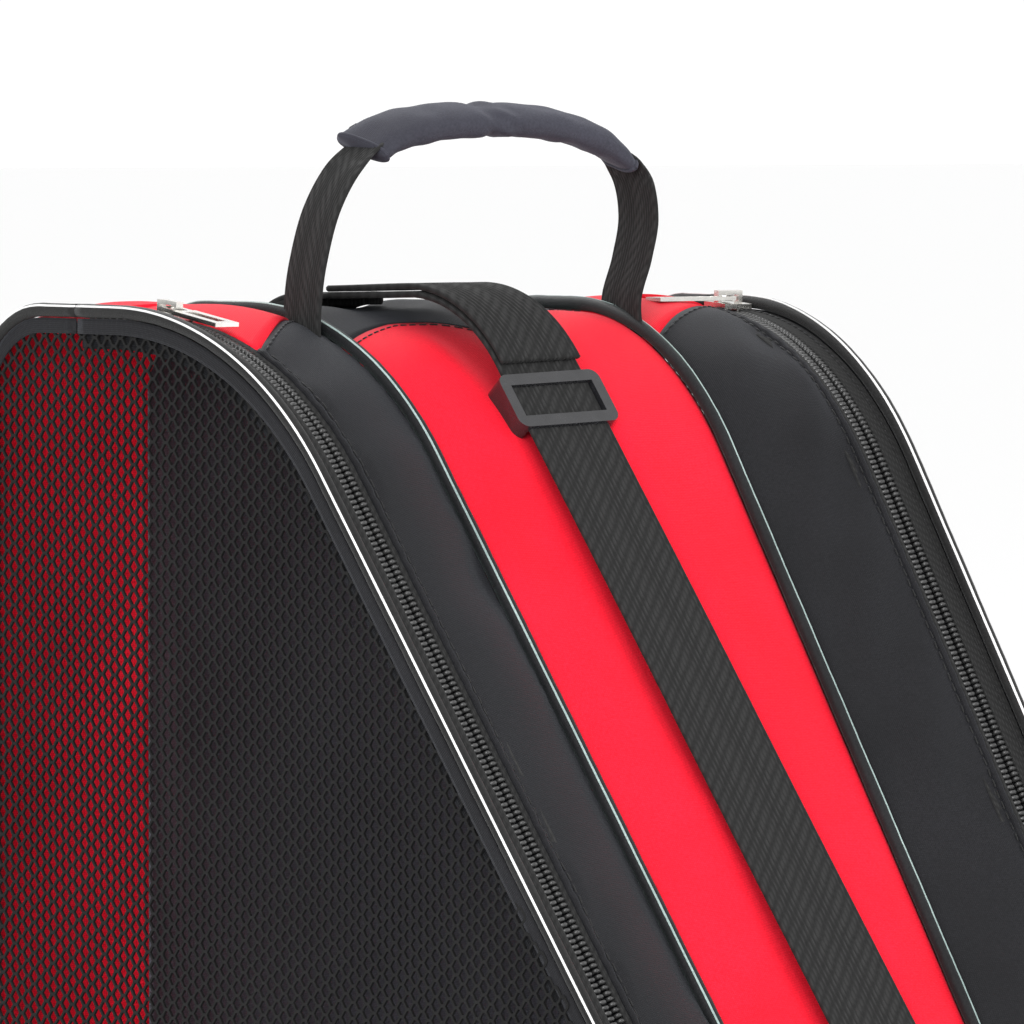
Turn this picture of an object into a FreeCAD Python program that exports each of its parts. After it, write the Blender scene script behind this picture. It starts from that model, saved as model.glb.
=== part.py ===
"""Three-compartment skate bag: a wedge-shaped carrier with two mesh side doors.

Units are millimetres, +Z is up, +X is the bag's left-to-right width and -Y is its toe.
The origin is the centre of the footprint on the floor.

A side profile is drawn in (v, z): v runs forward from the back wall, z runs up.
Each profile lies in a vertical plane that leans towards the centre as it runs forward,
so the bag is wider at the back than at the toe. The right side is modelled, and the
left side is its mirror image.
"""

import FreeCAD, Part

import math
import os

from FreeCAD import Vector

# Overall size
HEIGHT = 390.0
BASE_LENGTH = 390.0
TOP_LENGTH = 114.0
TOE_HEIGHT = 45.0
BACK_HALF_WIDTH = 113.0
SIDE_TAPER = 0.09
Y_BACK = 193.7

# Centre compartment
CENTRE_HALF_WIDTH = 58.0
CENTRE_TAPER = 0.07
CENTRE_RECESS = 13.0

# Profile corner radii: heel, crown, ridge, toe, tip
SIDE_RADII = (8.0, 28.0, 110.0, 40.0, 10.0)
CENTRE_RADII = (8.0, 28.0, 100.0, 40.0, 10.0)
STRAP_RIDGE_RADIUS = 45.0

# Cloth walls; an inset is measured inwards from a profile
SIDE_LIFT = 5.0
CENTRE_LIFT = 3.3
WALL = 2.5
WALL_INSET = 1.2
SEAM_GAP = 0.1
BODY_GAP = 0.3
TURN_UNDER = 26.0
HINGE_SETBACK = 2.4
BASE_THICKNESS = 3.0
BOARD_THICKNESS = 3.0
BOARD_BACK_MARGIN = 48.0
BOARD_TOE_MARGIN = 44.0
TOE_CHAMFER = 18.0
DIVIDER_THICKNESS = 3.0

# Piping
PIPING_RADIUS = 2.0
PIPING_INSET = -0.9
PIPING_DEPTH = 1.0
CROWN_PIPING_RADIUS = 1.5
CROWN_PIPING_V = 13.0
CROWN_PIPING_DROP = 6.8

# Mesh side panels and the doors in them
MESH_THICKNESS = 1.2
MESH_DEPTH = 0.4
MESH_INSET = 1.3
HINGE_V = 44.0
BINDING_WIDTH = 7.0
BINDING_THICKNESS = 1.0

# Zip chain, measured across the bag from the outer face inwards
TAPE_OUTER_EDGE = 2.0
TAPE_INNER_EDGE = 22.0
TAPE_THICKNESS = 1.1
CHAIN_CENTRE = 11.0
TEETH_WIDTH = 1.8
TEETH_GAP = 1.6
TEETH_INSET = 0.8
TEETH_HEIGHT = 2.0
STOP_START = 3.0
STOP_LENGTH = 2.5

# Zip sliders and pull tabs; angles are on the ridge arc
SLIDER_HALF_WIDTH = 4.5
SLIDER_HALF_ANGLE = 2.9
SLIDER_PLATE = 1.4
SLIDER_CLEARANCE = 0.5
SLIDER_POST = 0.8
FLANGE_RISE = -0.9
BRIDGE_HALF_ANGLE = 2.1
BRIDGE_POST_ANGLE = 0.5
BRIDGE_HALF_LENGTH = 4.0
BRIDGE_OPENING = 2.2
BRIDGE_BAR = 1.2
BRIDGE_HALF_WIDTH = 1.2
LEFT_SLIDER_ANGLE = 5.0
RIGHT_SLIDER_ANGLE = 3.3
TAB_LENGTH = 25.0
TAB_WIDTH = 8.0
TAB_THICKNESS = 1.1
TAB_TILT = 4.0
TAB_YOKE = 6.0
TAB_RIM = 2.5
TAB_SLOT = 3.0
TAB_ARM = 1.6
TAB_PIN = 0.8

# Colour seams
GUSSET_SEAM_V = 85.0
CENTRE_SEAM_V = 98.0

# Carry handle
HANDLE_V = 76.0
HANDLE_HALF_SPAN = 57.0
HANDLE_RISE = 51.0
HANDLE_BEND = 12.0
HANDLE_WIDTH = 25.0
WEB_THICKNESS = 2.4
FOOT_DROP = 14.0
FOOT_SHOULDER = 3.2
HINGE_RISE = 4.0
LEG_START = 12.0
GRIP_LENGTH = 88.0
GRIP_WIDTH = 14.0
GRIP_HEIGHT = 14.0
GRIP_ROUND = 5.0
GRIP_CORE = 8.0

# Shoulder strap and its tri-glide
STRAP_WIDTH = 27.0
STRAP_SKEW = 0.075
STRAP_CROSSING_Y = -0.4
STRAP_LIFT = 2.2
STRAP_THICKNESS = 2.0
STRAP_BACK_V = 16.0
STRAP_FRONT_Z = 190.0
DOUBLE_BACK_V = 40.0
PATCH_LENGTH = 16.0
GLIDE_LENGTH = 17.5
GLIDE_WIDTH = 34.0
GLIDE_BAR = 3.6
GLIDE_BAR_THICKNESS = 2.4
GLIDE_ROUND = 3.0
GLIDE_PARK = 4.0

# Back flap of the centre compartment
FLAP_BOTTOM = 14.0
FLAP_TOP = 322.0
FLAP_FRAME = 11.0
FLAP_CHAIN = 5.0
FLAP_TEETH = 1.7
FLAP_SLIDER_Z = 40.0
FLAP_SLIDER_HEIGHT = 12.0

Z_AXIS = Vector(0, 0, 1)
NAMES = ("bottom", "heel", "back", "crown", "top", "ridge", "slope", "toe", "front", "tip")


# Profiles -------------------------------------------------------------------


class Profile:
    """A wedge outline with rounded corners, drawn in (v, z) and offset inwards by an inset."""

    def __init__(self, top_length, base_length, toe_height, bottom, radii):
        self.corners = [
            (0.0, bottom),
            (0.0, HEIGHT),
            (top_length, HEIGHT),
            (base_length, toe_height),
            (base_length, bottom),
        ]
        self.radii = radii

    def inset_corners(self, inset):
        """Return the corners after each edge is moved inwards."""
        count = len(self.corners)
        lines = []
        for i in range(count):
            (ax, az), (bx, bz) = self.corners[i], self.corners[(i + 1) % count]
            length = math.hypot(bx - ax, bz - az)
            dx, dz = (bx - ax) / length, (bz - az) / length
            lines.append((ax + dz * inset, az - dx * inset, dx, dz))
        moved = []
        for i in range(count):
            px, pz, pdx, pdz = lines[i - 1]
            qx, qz, qdx, qdz = lines[i]
            cross = pdx * qdz - pdz * qdx
            t = ((qx - px) * qdz - (qz - pz) * qdx) / cross
            moved.append((px + t * pdx, pz + t * pdz))
        return moved

    def arcs(self, inset):
        """Return one (start, middle, end, centre, radius) for each rounded corner."""
        corners = self.inset_corners(inset)
        count = len(corners)
        found = []
        for i, (cx, cz) in enumerate(corners):
            radius = self.radii[i] - inset
            before = unit(corners[i - 1], (cx, cz))
            after = unit((cx, cz), corners[(i + 1) % count])
            turn = math.acos(before[0] * after[0] + before[1] * after[1])
            reach = radius * math.tan(turn / 2)
            start = (cx - before[0] * reach, cz - before[1] * reach)
            end = (cx + after[0] * reach, cz + after[1] * reach)
            centre = (start[0] + before[1] * radius, start[1] - before[0] * radius)
            away = unit(centre, (cx, cz))
            middle = (centre[0] + away[0] * radius, centre[1] + away[1] * radius)
            found.append((start, middle, end, centre, radius))
        return found

    def pieces(self, inset):
        """Return the outline's lines and arcs by name, in order from the bottom round the back."""
        arcs = self.arcs(inset)
        table = {}
        for i, name in enumerate(NAMES[1::2]):
            table[name] = arcs[i]
            table[NAMES[2 * i]] = (arcs[i - 1][2], arcs[i][0])
        return table

    def cut(self, piece, value, along_v):
        """Return the point of a line or ridge arc where v or z has a value."""
        if len(piece) == 5:
            centre, radius = piece[3], piece[4]
            return (value, centre[1] + math.sqrt(radius**2 - (value - centre[0]) ** 2))
        (ax, az), (bx, bz) = piece
        t = (value - ax) / (bx - ax) if along_v else (value - az) / (bz - az)
        return (ax + t * (bx - ax), az + t * (bz - az))

    def stretch(self, inset, start, end):
        """Return the lines and arcs from one station to another.

        A station is a piece's name and a value: v on the bottom, top and ridge, else z.
        A value of None takes the whole piece.
        """
        table = self.pieces(inset)
        first, last = NAMES.index(start[0]), NAMES.index(end[0])
        if last < first:
            last += len(NAMES)
        run = []
        for i in range(first, last + 1):
            name = NAMES[i % len(NAMES)]
            piece = table[name]
            along_v = name in ("bottom", "top", "ridge")
            a, b = piece[0], piece[-1] if len(piece) == 2 else piece[2]
            if i == first and start[1] is not None:
                a = self.cut(piece, start[1], along_v)
            if i == last and end[1] is not None:
                b = self.cut(piece, end[1], along_v)
            if len(piece) == 2:
                run.append((a, b))
            else:
                run.append((a, arc_middle(a, b, piece[3], piece[4]), b))
        return run

    def ring(self, inset):
        """Return the whole outline."""
        table = self.pieces(inset)
        return [table[n] if len(table[n]) == 2 else table[n][:3] for n in NAMES]


def unit(a, b):
    length = math.hypot(b[0] - a[0], b[1] - a[1])
    return ((b[0] - a[0]) / length, (b[1] - a[1]) / length)


def arc_middle(a, b, centre, radius):
    away = unit(centre, ((a[0] + b[0]) / 2, (a[1] + b[1]) / 2))
    return (centre[0] + away[0] * radius, centre[1] + away[1] * radius)


def slope_match(top_length, base_length):
    """Return the toe height that keeps a shorter profile's slope parallel to the side's."""
    rate = (HEIGHT - TOE_HEIGHT) / (BASE_LENGTH - TOP_LENGTH)
    return HEIGHT - (base_length - top_length) * rate


SLOPE_ANGLE = math.atan2(BASE_LENGTH - TOP_LENGTH, HEIGHT - TOE_HEIGHT)
CENTRE_TOP = TOP_LENGTH - CENTRE_RECESS / math.cos(SLOPE_ANGLE)
CENTRE_BASE = BASE_LENGTH - CENTRE_RECESS
CENTRE_TOE = slope_match(CENTRE_TOP, CENTRE_BASE)
SIDE = Profile(TOP_LENGTH, BASE_LENGTH, TOE_HEIGHT, SIDE_LIFT, SIDE_RADII)
CENTRE = Profile(CENTRE_TOP, CENTRE_BASE, CENTRE_TOE, CENTRE_LIFT, CENTRE_RADII)
STRAP_RADII = CENTRE_RADII[:2] + (STRAP_RIDGE_RADIUS,) + CENTRE_RADII[3:]
STRAP_PATH = Profile(CENTRE_TOP, CENTRE_BASE, CENTRE_TOE, CENTRE_LIFT, STRAP_RADII)


# Planes and solids ----------------------------------------------------------


class Plane:
    """An upright plane for a profile: it starts at the back wall and leans inwards."""

    def __init__(self, half_width, taper):
        angle = math.atan(taper)
        self.origin = Vector(half_width, Y_BACK, 0)
        self.forward = Vector(-math.sin(angle), -math.cos(angle), 0)
        self.normal = Vector(math.cos(angle), -math.sin(angle), 0)

    def point(self, place, n=0.0):
        v, z = place
        return self.origin + self.forward * v + self.normal * n + Z_AXIS * z


OUTER = Plane(BACK_HALF_WIDTH, SIDE_TAPER)
INNER = Plane(CENTRE_HALF_WIDTH, CENTRE_TAPER)
MIDDLE = Plane(0.0, 0.0)


def edges(run, plane, n=0.0):
    made = []
    for piece in run:
        points = [plane.point(p, n) for p in piece]
        shape = Part.LineSegment(*points) if len(points) == 2 else Part.Arc(*points)
        made.append(shape.toShape())
    return made


def ring_wire(profile, inset, plane, n):
    return Part.Wire(edges(profile.ring(inset), plane, n))


def backwards(run):
    return [piece[::-1] for piece in reversed(run)]


def strip_wire(profile, plane, n, outer, inner, start, end):
    """Return the closed outline of a strip between two insets of a profile."""
    out = profile.stretch(outer, start, end)
    back = backwards(profile.stretch(inner, start, end))
    ends = [(out[-1][-1], back[0][0]), (back[-1][-1], out[0][0])]
    return Part.Wire(edges(out + ends[:1] + back + ends[1:], plane, n))


def strip(profile, plane, outer, inner, n1, n2, start, end):
    """Return a strip of constant section, n1 to n2 along the plane's normal."""
    face = Part.Face(strip_wire(profile, plane, n1, outer, inner, start, end))
    return face.extrude(plane.normal * (n2 - n1))


def band(profile_a, plane_a, n_a, ends_a, profile_b, plane_b, n_b, ends_b):
    """Return a cloth wall ruled between two profiles in two planes."""
    inner = WALL_INSET + WALL
    wire_a = strip_wire(profile_a, plane_a, n_a, WALL_INSET, inner, *ends_a)
    wire_b = strip_wire(profile_b, plane_b, n_b, WALL_INSET, inner, *ends_b)
    return Part.makeLoft([wire_a, wire_b], True, True)


def panel(profile, plane, inset, n1, n2):
    """Return a flat panel that fills the profile."""
    face = Part.Face(ring_wire(profile, inset, plane, n1))
    return face.extrude(plane.normal * (n2 - n1))


def tube(run, plane, n, radius):
    """Return a round cord along a run of a profile."""
    path = Part.Wire(edges(run, plane, n))
    first = path.Edges[0]
    start = plane.point(run[0][0], n)
    tangent = first.tangentAt(first.FirstParameter)
    ring = Part.Wire(Part.makeCircle(radius, start, tangent))
    return path.makePipeShell([ring], True, False)


def box(x1, x2, y1, y2, z1, z2):
    return Part.makeBox(x2 - x1, y2 - y1, z2 - z1, Vector(x1, y1, z1))


def mirrored(shape):
    return shape.mirror(Vector(0, 0, 0), Vector(1, 0, 0))


def hinge_side(plane, front):
    """Return the region in front of or behind the door's hinge line."""
    big = 1000.0
    v1, v2 = (HINGE_V + BODY_GAP / 2, big) if front else (-big, HINGE_V - BODY_GAP / 2)
    corners = [(v1, -big), (v2, -big), (v2, big), (v1, big)]
    wire = Part.makePolygon([plane.point(c, -big) for c in corners + corners[:1]])
    return Part.Face(wire).extrude(plane.normal * 2 * big)


class MirrorPlane:
    """The mirror image of a plane on the other side of the bag."""

    def __init__(self, plane):
        self.plane = plane

    def point(self, place, n=0.0):
        p = self.plane.point(place, n)
        return Vector(-p.x, p.y, p.z)


nodes = {}


def add(name, shape):
    nodes[name] = shape


def add_pair(name, shape):
    """Add a right-hand piece and its mirror image."""
    add(name + "_right", shape)
    add(name + "_left", mirrored(shape))


# Bag body -------------------------------------------------------------------


def footprint(back_margin, toe_margin, side_margin, z):
    """Return the base outline, held inside the walls by its margins."""
    back, toe = Y_BACK - back_margin, Y_BACK - BASE_LENGTH + toe_margin
    wide = BACK_HALF_WIDTH - side_margin
    narrow = wide - SIDE_TAPER * (BASE_LENGTH - toe_margin)
    right = [(wide, back), (narrow, toe + TOE_CHAMFER), (narrow - TOE_CHAMFER, toe)]
    left = [(-x, y) for x, y in reversed(right)]
    points = right + left + right[:1]
    return Part.Face(Part.makePolygon([Vector(x, y, z) for x, y in points]))


def base():
    cloth = footprint(SEAM_GAP, CENTRE_RECESS, TAPE_INNER_EDGE, 0)
    add("base_panel", cloth.extrude(Z_AXIS * BASE_THICKNESS))
    board = footprint(BOARD_BACK_MARGIN, BOARD_TOE_MARGIN, TAPE_INNER_EDGE + 2, BASE_THICKNESS + SEAM_GAP)
    add("base_board", board.extrude(Z_AXIS * BOARD_THICKNESS))


def dividers():
    """Upright cloth walls between the compartments, standing on the base board."""
    inset = WALL_INSET + WALL + 2 * SEAM_GAP
    half = DIVIDER_THICKNESS / 2
    wall = panel(CENTRE, INNER, inset, -half, half)
    floor = BASE_THICKNESS + BOARD_THICKNESS + 2 * SEAM_GAP
    add_pair("divider", wall.common(box(0, BACK_HALF_WIDTH, -Y_BACK, Y_BACK, floor, HEIGHT)))


def gussets():
    """Cloth walls between the inner piping and the zip, in the bag's two colours."""
    seam = ("ridge", GUSSET_SEAM_V)
    top_edge, top_seam = ("top", HINGE_V), ("top", HINGE_V - HINGE_SETBACK + SEAM_GAP)
    rear = (("bottom", HINGE_V - HINGE_SETBACK), ("top", HINGE_V - HINGE_SETBACK))
    side_foot = ("bottom", BASE_LENGTH - TURN_UNDER)
    centre_foot = ("bottom", CENTRE_BASE - TURN_UNDER)
    edge = (SIDE, OUTER, -TAPE_INNER_EDGE)
    corner = (SIDE, OUTER, -MESH_DEPTH - MESH_THICKNESS - SEAM_GAP)
    seamed = (CENTRE, INNER, SEAM_GAP)
    add_pair("gusset_front", band(*seamed, (seam, centre_foot), *edge, (seam, side_foot)))
    add_pair("gusset_top", band(*seamed, (top_seam, seam), *edge, (top_edge, seam)))
    add_pair("gusset_back", band(*seamed, rear, *corner, rear))


def centre_walls():
    """Top and front of the centre compartment, between the two inner pipings."""
    left = MirrorPlane(INNER)
    seam = ("ridge", CENTRE_SEAM_V)
    foot = ("bottom", CENTRE_BASE - TURN_UNDER)
    flap_head = ("back", FLAP_TOP + FLAP_CHAIN + FLAP_FRAME)
    for name, ends in (("centre_top_panel", (flap_head, seam)), ("centre_front_panel", (seam, foot))):
        add(name, band(CENTRE, INNER, -SEAM_GAP, ends, CENTRE, left, -SEAM_GAP, ends))


# Piping, mesh and zip chain -------------------------------------------------

FRONT_START = ("top", HINGE_V + BODY_GAP / 2)
FRONT_END = ("bottom", HINGE_V + BODY_GAP / 2)
REAR_START = ("bottom", HINGE_V - BODY_GAP / 2)
REAR_END = ("top", HINGE_V - BODY_GAP / 2)


def crown_piping():
    """A cord across the back edge of the top, in three lengths between the other pipings."""
    v, z = CROWN_PIPING_V, HEIGHT + PIPING_RADIUS - PIPING_INSET - CROWN_PIPING_DROP
    centre = Vector(0, Y_BACK - v, z)
    inner_x = CENTRE_HALF_WIDTH - CENTRE_TAPER * v
    clear = PIPING_RADIUS + SEAM_GAP
    outer_x = BACK_HALF_WIDTH - SIDE_TAPER * v - PIPING_DEPTH - clear
    spans = [(-outer_x, -inner_x - clear), (-inner_x + clear, inner_x - clear), (inner_x + clear, outer_x)]
    cords = []
    for x1, x2 in spans:
        start = Vector(x1, centre.y, centre.z)
        cords.append(Part.makeCylinder(CROWN_PIPING_RADIUS, x2 - x1, start, Vector(1, 0, 0)))
    add("crown_piping", Part.makeCompound(cords))


def pipings():
    crown_piping()
    low = BASE_THICKNESS + BOARD_THICKNESS + CENTRE_RADII[0]
    inner_run = CENTRE.stretch(PIPING_INSET, ("back", low), ("front", low))
    add_pair("inner_piping", tube(inner_run, INNER, 0, PIPING_RADIUS))
    door_run = SIDE.stretch(PIPING_INSET, FRONT_START, FRONT_END)
    add_pair("door_piping", tube(door_run, OUTER, -PIPING_DEPTH, PIPING_RADIUS))
    rear_run = SIDE.stretch(PIPING_INSET, REAR_START, REAR_END)
    add_pair("rear_piping", tube(rear_run, OUTER, -PIPING_DEPTH, PIPING_RADIUS))


def mesh_panels():
    """One mesh sheet on each side: its front part is the door, its rear part is sewn down."""
    back = -MESH_DEPTH - MESH_THICKNESS
    sheet = panel(SIDE, OUTER, MESH_INSET, back, -MESH_DEPTH)
    add_pair("door_mesh", sheet.common(hinge_side(OUTER, True)))
    add_pair("rear_mesh", sheet.common(hinge_side(OUTER, False)))
    inset = WALL_INSET + TAPE_THICKNESS + SEAM_GAP
    inner = back - SEAM_GAP - BINDING_THICKNESS
    rim = strip(
        SIDE, OUTER, inset, inset + BINDING_WIDTH, inner, back - SEAM_GAP, FRONT_START, FRONT_END
    )
    add_pair("door_binding", rim)


def zip_chain():
    """Two tapes with a row of teeth each; the gap between the rows lets the slider's post run."""
    tape = (SIDE, OUTER, WALL_INSET, WALL_INSET + TAPE_THICKNESS)
    row = (SIDE, OUTER, TEETH_INSET, TEETH_INSET + TEETH_HEIGHT)
    door_row = (-CHAIN_CENTRE + TEETH_GAP / 2, -CHAIN_CENTRE + TEETH_GAP / 2 + TEETH_WIDTH)
    bag_row = (-CHAIN_CENTRE - TEETH_GAP / 2 - TEETH_WIDTH, -CHAIN_CENTRE - TEETH_GAP / 2)
    ends = (FRONT_START, FRONT_END)
    add_pair("door_tape", strip(*tape, door_row[1] + SEAM_GAP, -TAPE_OUTER_EDGE, *ends))
    add_pair("bag_tape", strip(*tape, SEAM_GAP - TAPE_INNER_EDGE, bag_row[0] - SEAM_GAP, *ends))
    first, last = HINGE_V + STOP_START + STOP_LENGTH + SEAM_GAP, HINGE_V + STOP_START
    teeth_ends = (("top", first), ("bottom", first))
    stops = ((("top", last), ("top", first - SEAM_GAP)), (("bottom", first - SEAM_GAP), ("bottom", last)))
    for name, span in (("door", door_row), ("bag", bag_row)):
        add_pair(name + "_teeth", strip(*row, *span, *teeth_ends))
        add_pair(name + "_stops", Part.makeCompound([strip(*row, *span, *s) for s in stops]))


# Sliders --------------------------------------------------------------------


def ridge_arc():
    """Return the side profile's ridge centre and radius, which the sliders run round."""
    arc = SIDE.arcs(0)[2]
    return arc[3], arc[4]


def ridge_point(angle, rise):
    """Return (v, z) on the ridge arc: angle from its top in degrees, and height above it."""
    (v, z), radius = ridge_arc()
    turn = math.radians(angle)
    return (v + (radius + rise) * math.sin(turn), z + (radius + rise) * math.cos(turn))


def sector(angle1, angle2, rise1, rise2, n1, n2):
    """Return a curved plate on the ridge arc."""
    middle = (angle1 + angle2) / 2
    low = [ridge_point(a, rise1) for a in (angle1, middle, angle2)]
    high = [ridge_point(a, rise2) for a in (angle2, middle, angle1)]
    run = [low, (low[-1], high[0]), high, (high[-1], low[0])]
    return Part.Face(Part.Wire(edges(run, OUTER, n1))).extrude(OUTER.normal * (n2 - n1))


def slider(angle, bridge_across):
    """Return a zip slider at an angle on the right-hand ridge arc.

    Its plates are open towards the door, so the door's tape leaves it sideways. The bow
    that holds the pull tab runs along the chain, or across it.
    """
    a1, a2 = angle - SLIDER_HALF_ANGLE, angle + SLIDER_HALF_ANGLE
    n1, n2 = -CHAIN_CENTRE - SLIDER_HALF_WIDTH, -CHAIN_CENTRE + SLIDER_HALF_WIDTH
    top = SLIDER_CLEARANCE - TEETH_INSET
    low = -TEETH_INSET - TEETH_HEIGHT - SLIDER_CLEARANCE
    solid = sector(a1, a2, top, top + SLIDER_PLATE, n1, n2)
    solid = solid.fuse(sector(a1, a2, low - SLIDER_PLATE, low, n1, n2))
    post = SLIDER_POST / 2
    middle = (-CHAIN_CENTRE - post, -CHAIN_CENTRE + post)
    solid = solid.fuse(sector(angle, a2, low - SEAM_GAP, top + SEAM_GAP, *middle))
    solid = solid.fuse(sector(a1, a2, FLANGE_RISE, top + SEAM_GAP, n1, n1 + SLIDER_POST))
    for bow in bow_parts(angle, top + SLIDER_PLATE, bridge_across):
        solid = solid.fuse(bow)
    return solid.removeSplitter()


def bow_parts(angle, head, across):
    """Return the bow's roof and two posts, standing on the slider's head."""
    half_angle = math.degrees(BRIDGE_HALF_WIDTH / ridge_arc()[1])
    roof = head + BRIDGE_OPENING
    low, high = (head - SEAM_GAP, roof + SEAM_GAP), (roof, roof + BRIDGE_BAR)
    width, reach = BRIDGE_HALF_WIDTH, BRIDGE_HALF_LENGTH
    if across:
        turn = (angle - half_angle, angle + half_angle)
        n1, n2 = -CHAIN_CENTRE - reach, -CHAIN_CENTRE + reach
        parts = [sector(*turn, *high, n1, n2)]
        parts.append(sector(*turn, *low, n1, n1 + BRIDGE_BAR))
        parts.append(sector(*turn, *low, n2 - BRIDGE_BAR, n2))
        return parts
    middle = (-CHAIN_CENTRE - width, -CHAIN_CENTRE + width)
    outer, inner = BRIDGE_HALF_ANGLE, BRIDGE_HALF_ANGLE - BRIDGE_POST_ANGLE
    parts = [sector(angle - outer, angle + outer, *high, *middle)]
    parts.append(sector(angle - outer, angle - inner, *low, *middle))
    parts.append(sector(angle + inner, angle + outer, *low, *middle))
    return parts


def tab():
    """Return a slotted pull tab: its pin lies on Y through the origin, and it points along +X."""
    half = TAB_WIDTH / 2
    t = TAB_THICKNESS / 2
    plate = box(TAB_YOKE, TAB_LENGTH, -half, half, -t, t)
    slot = box(TAB_YOKE + TAB_RIM, TAB_LENGTH - TAB_RIM, -TAB_SLOT / 2, TAB_SLOT / 2, -2 * t, 2 * t)
    solid = plate.cut(slot)
    arm = (BRIDGE_HALF_WIDTH + BODY_GAP, BRIDGE_HALF_WIDTH + BODY_GAP + TAB_ARM)
    for y1, y2 in (arm, (-arm[1], -arm[0])):
        solid = solid.fuse(box(-TAB_PIN, TAB_YOKE + SEAM_GAP, y1, y2, -t, t))
    pin = Part.makeCylinder(TAB_PIN, 2 * arm[1], Vector(0, -arm[1], 0), Vector(0, 1, 0))
    return solid.fuse(pin).removeSplitter()


def placed(shape, origin, x_axis, y_axis):
    """Return a shape moved so that its own X and Y lie along two world directions."""
    z_axis = x_axis.cross(y_axis)
    rows = [(x_axis[i], y_axis[i], z_axis[i], origin[i]) for i in range(3)]
    matrix = FreeCAD.Matrix(*rows[0], *rows[1], *rows[2], 0, 0, 0, 1)
    moved = shape.copy()
    moved.Placement = FreeCAD.Placement(matrix)
    return moved


def tab_height():
    return SLIDER_CLEARANCE - TEETH_INSET + SLIDER_PLATE + BRIDGE_OPENING / 2


def sliders():
    """The left tab lies forward along its chain, and the right one towards the bag's centre."""
    pivot = OUTER.point(ridge_point(LEFT_SLIDER_ANGLE, tab_height()), -CHAIN_CENTRE)
    fall = math.radians(LEFT_SLIDER_ANGLE + TAB_TILT)
    along = OUTER.forward * math.cos(fall) - Z_AXIS * math.sin(fall)
    add("slider_left", mirrored(slider(LEFT_SLIDER_ANGLE, False)))
    add("pull_tab_left", mirrored(placed(tab(), pivot, along, OUTER.normal)))
    pivot = OUTER.point(ridge_point(RIGHT_SLIDER_ANGLE, tab_height()), -CHAIN_CENTRE)
    add("slider_right", slider(RIGHT_SLIDER_ANGLE, True))
    add("pull_tab_right", placed(tab(), pivot, OUTER.normal * -1, OUTER.forward))
    print("slider centre", OUTER.point(ridge_arc()[0], -CHAIN_CENTRE), "normal", OUTER.normal)
    print("right tab pivot", pivot)
    left = OUTER.point(ridge_point(LEFT_SLIDER_ANGLE, tab_height()), -CHAIN_CENTRE)
    print("left tab pivot", Vector(-left.x, left.y, left.z))
    print("door hinge", OUTER.point((HINGE_V, 0), PIPING_RADIUS - PIPING_DEPTH + SEAM_GAP))


# Carry handle ---------------------------------------------------------------


def handle():
    """A webbing bail with a padded grip, leaning about an axis through its sewn feet.

    The webbing is folded small under the grip, and each foot ends in a round knuckle.
    """
    y = Y_BACK - HANDLE_V
    y1, y2 = y - HANDLE_WIDTH / 2, y + HANDLE_WIDTH / 2
    half = WEB_THICKNESS / 2
    outer = bail(HANDLE_HALF_SPAN + half, HANDLE_RISE + half, HANDLE_BEND + half, y1)
    inner = bail(HANDLE_HALF_SPAN - half, HANDLE_RISE - half, HANDLE_BEND - half, y1)
    web = outer.cut(inner).extrude(Vector(0, HANDLE_WIDTH, 0))
    middle = HEIGHT + HANDLE_RISE
    fold, core = GRIP_LENGTH / 2 + SEAM_GAP, GRIP_CORE / 2
    for side in (-1, 1):
        cut = sorted((y + side * core, y + side * HANDLE_WIDTH))
        web = web.cut(box(-fold, fold, *cut, middle - GRIP_HEIGHT, middle + GRIP_HEIGHT))
    web = web.fuse(box(-fold, fold, y - core, y + core, middle - core, middle + core))
    add("handle_webbing", web.removeSplitter())
    grip = box(
        -GRIP_LENGTH / 2,
        GRIP_LENGTH / 2,
        y - GRIP_WIDTH / 2,
        y + GRIP_WIDTH / 2,
        middle - GRIP_HEIGHT / 2,
        middle + GRIP_HEIGHT / 2,
    )
    grip = grip.makeFillet(GRIP_ROUND, grip.Edges)
    core += SEAM_GAP
    bore = box(-GRIP_LENGTH, GRIP_LENGTH, y - core, y + core, middle - core, middle + core)
    add("handle_grip", grip.cut(bore))
    axis = HEIGHT + HINGE_RISE
    x1, x2 = HANDLE_HALF_SPAN - half, HANDLE_HALF_SPAN + half
    foot = box(x1, x2, y1, y2, HEIGHT - FOOT_DROP, axis - FOOT_SHOULDER)
    knuckle = LEG_START - HINGE_RISE - BODY_GAP
    foot = foot.fuse(Part.makeCylinder(knuckle, x2 - x1, Vector(x1, y, axis), Vector(1, 0, 0)))
    foot = foot.cut(nodes["gusset_top_right"]).cut(nodes["gusset_front_right"])
    add_pair("handle_foot", max(foot.Solids, key=lambda solid: solid.CenterOfMass.z))


def bail(half_span, rise, bend, y):
    """Return the face under an arch, from the legs' lower ends."""
    low, high = HEIGHT + LEG_START, HEIGHT + rise
    turn = bend * (1 - math.sqrt(0.5))
    right = [
        [(half_span, low), (half_span, high - bend)],
        [(half_span, high - bend), (half_span - turn, high - turn), (half_span - bend, high)],
    ]
    left = [[(-x, z) for x, z in reversed(piece)] for piece in reversed(right)]
    run = right + [[right[-1][-1], left[0][0]]] + left + [[left[-1][-1], right[0][0]]]
    made = []
    for piece in run:
        points = [Vector(x, y, z) for x, z in piece]
        shape = Part.LineSegment(*points) if len(points) == 2 else Part.Arc(*points)
        made.append(shape.toShape())
    return Part.Face(Part.Wire(made))


# Shoulder strap -------------------------------------------------------------


def slope_start():
    """Return (v, z) where the strap leaves its ridge and runs straight down the slope."""
    return STRAP_PATH.pieces(0)["slope"][0]


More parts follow.
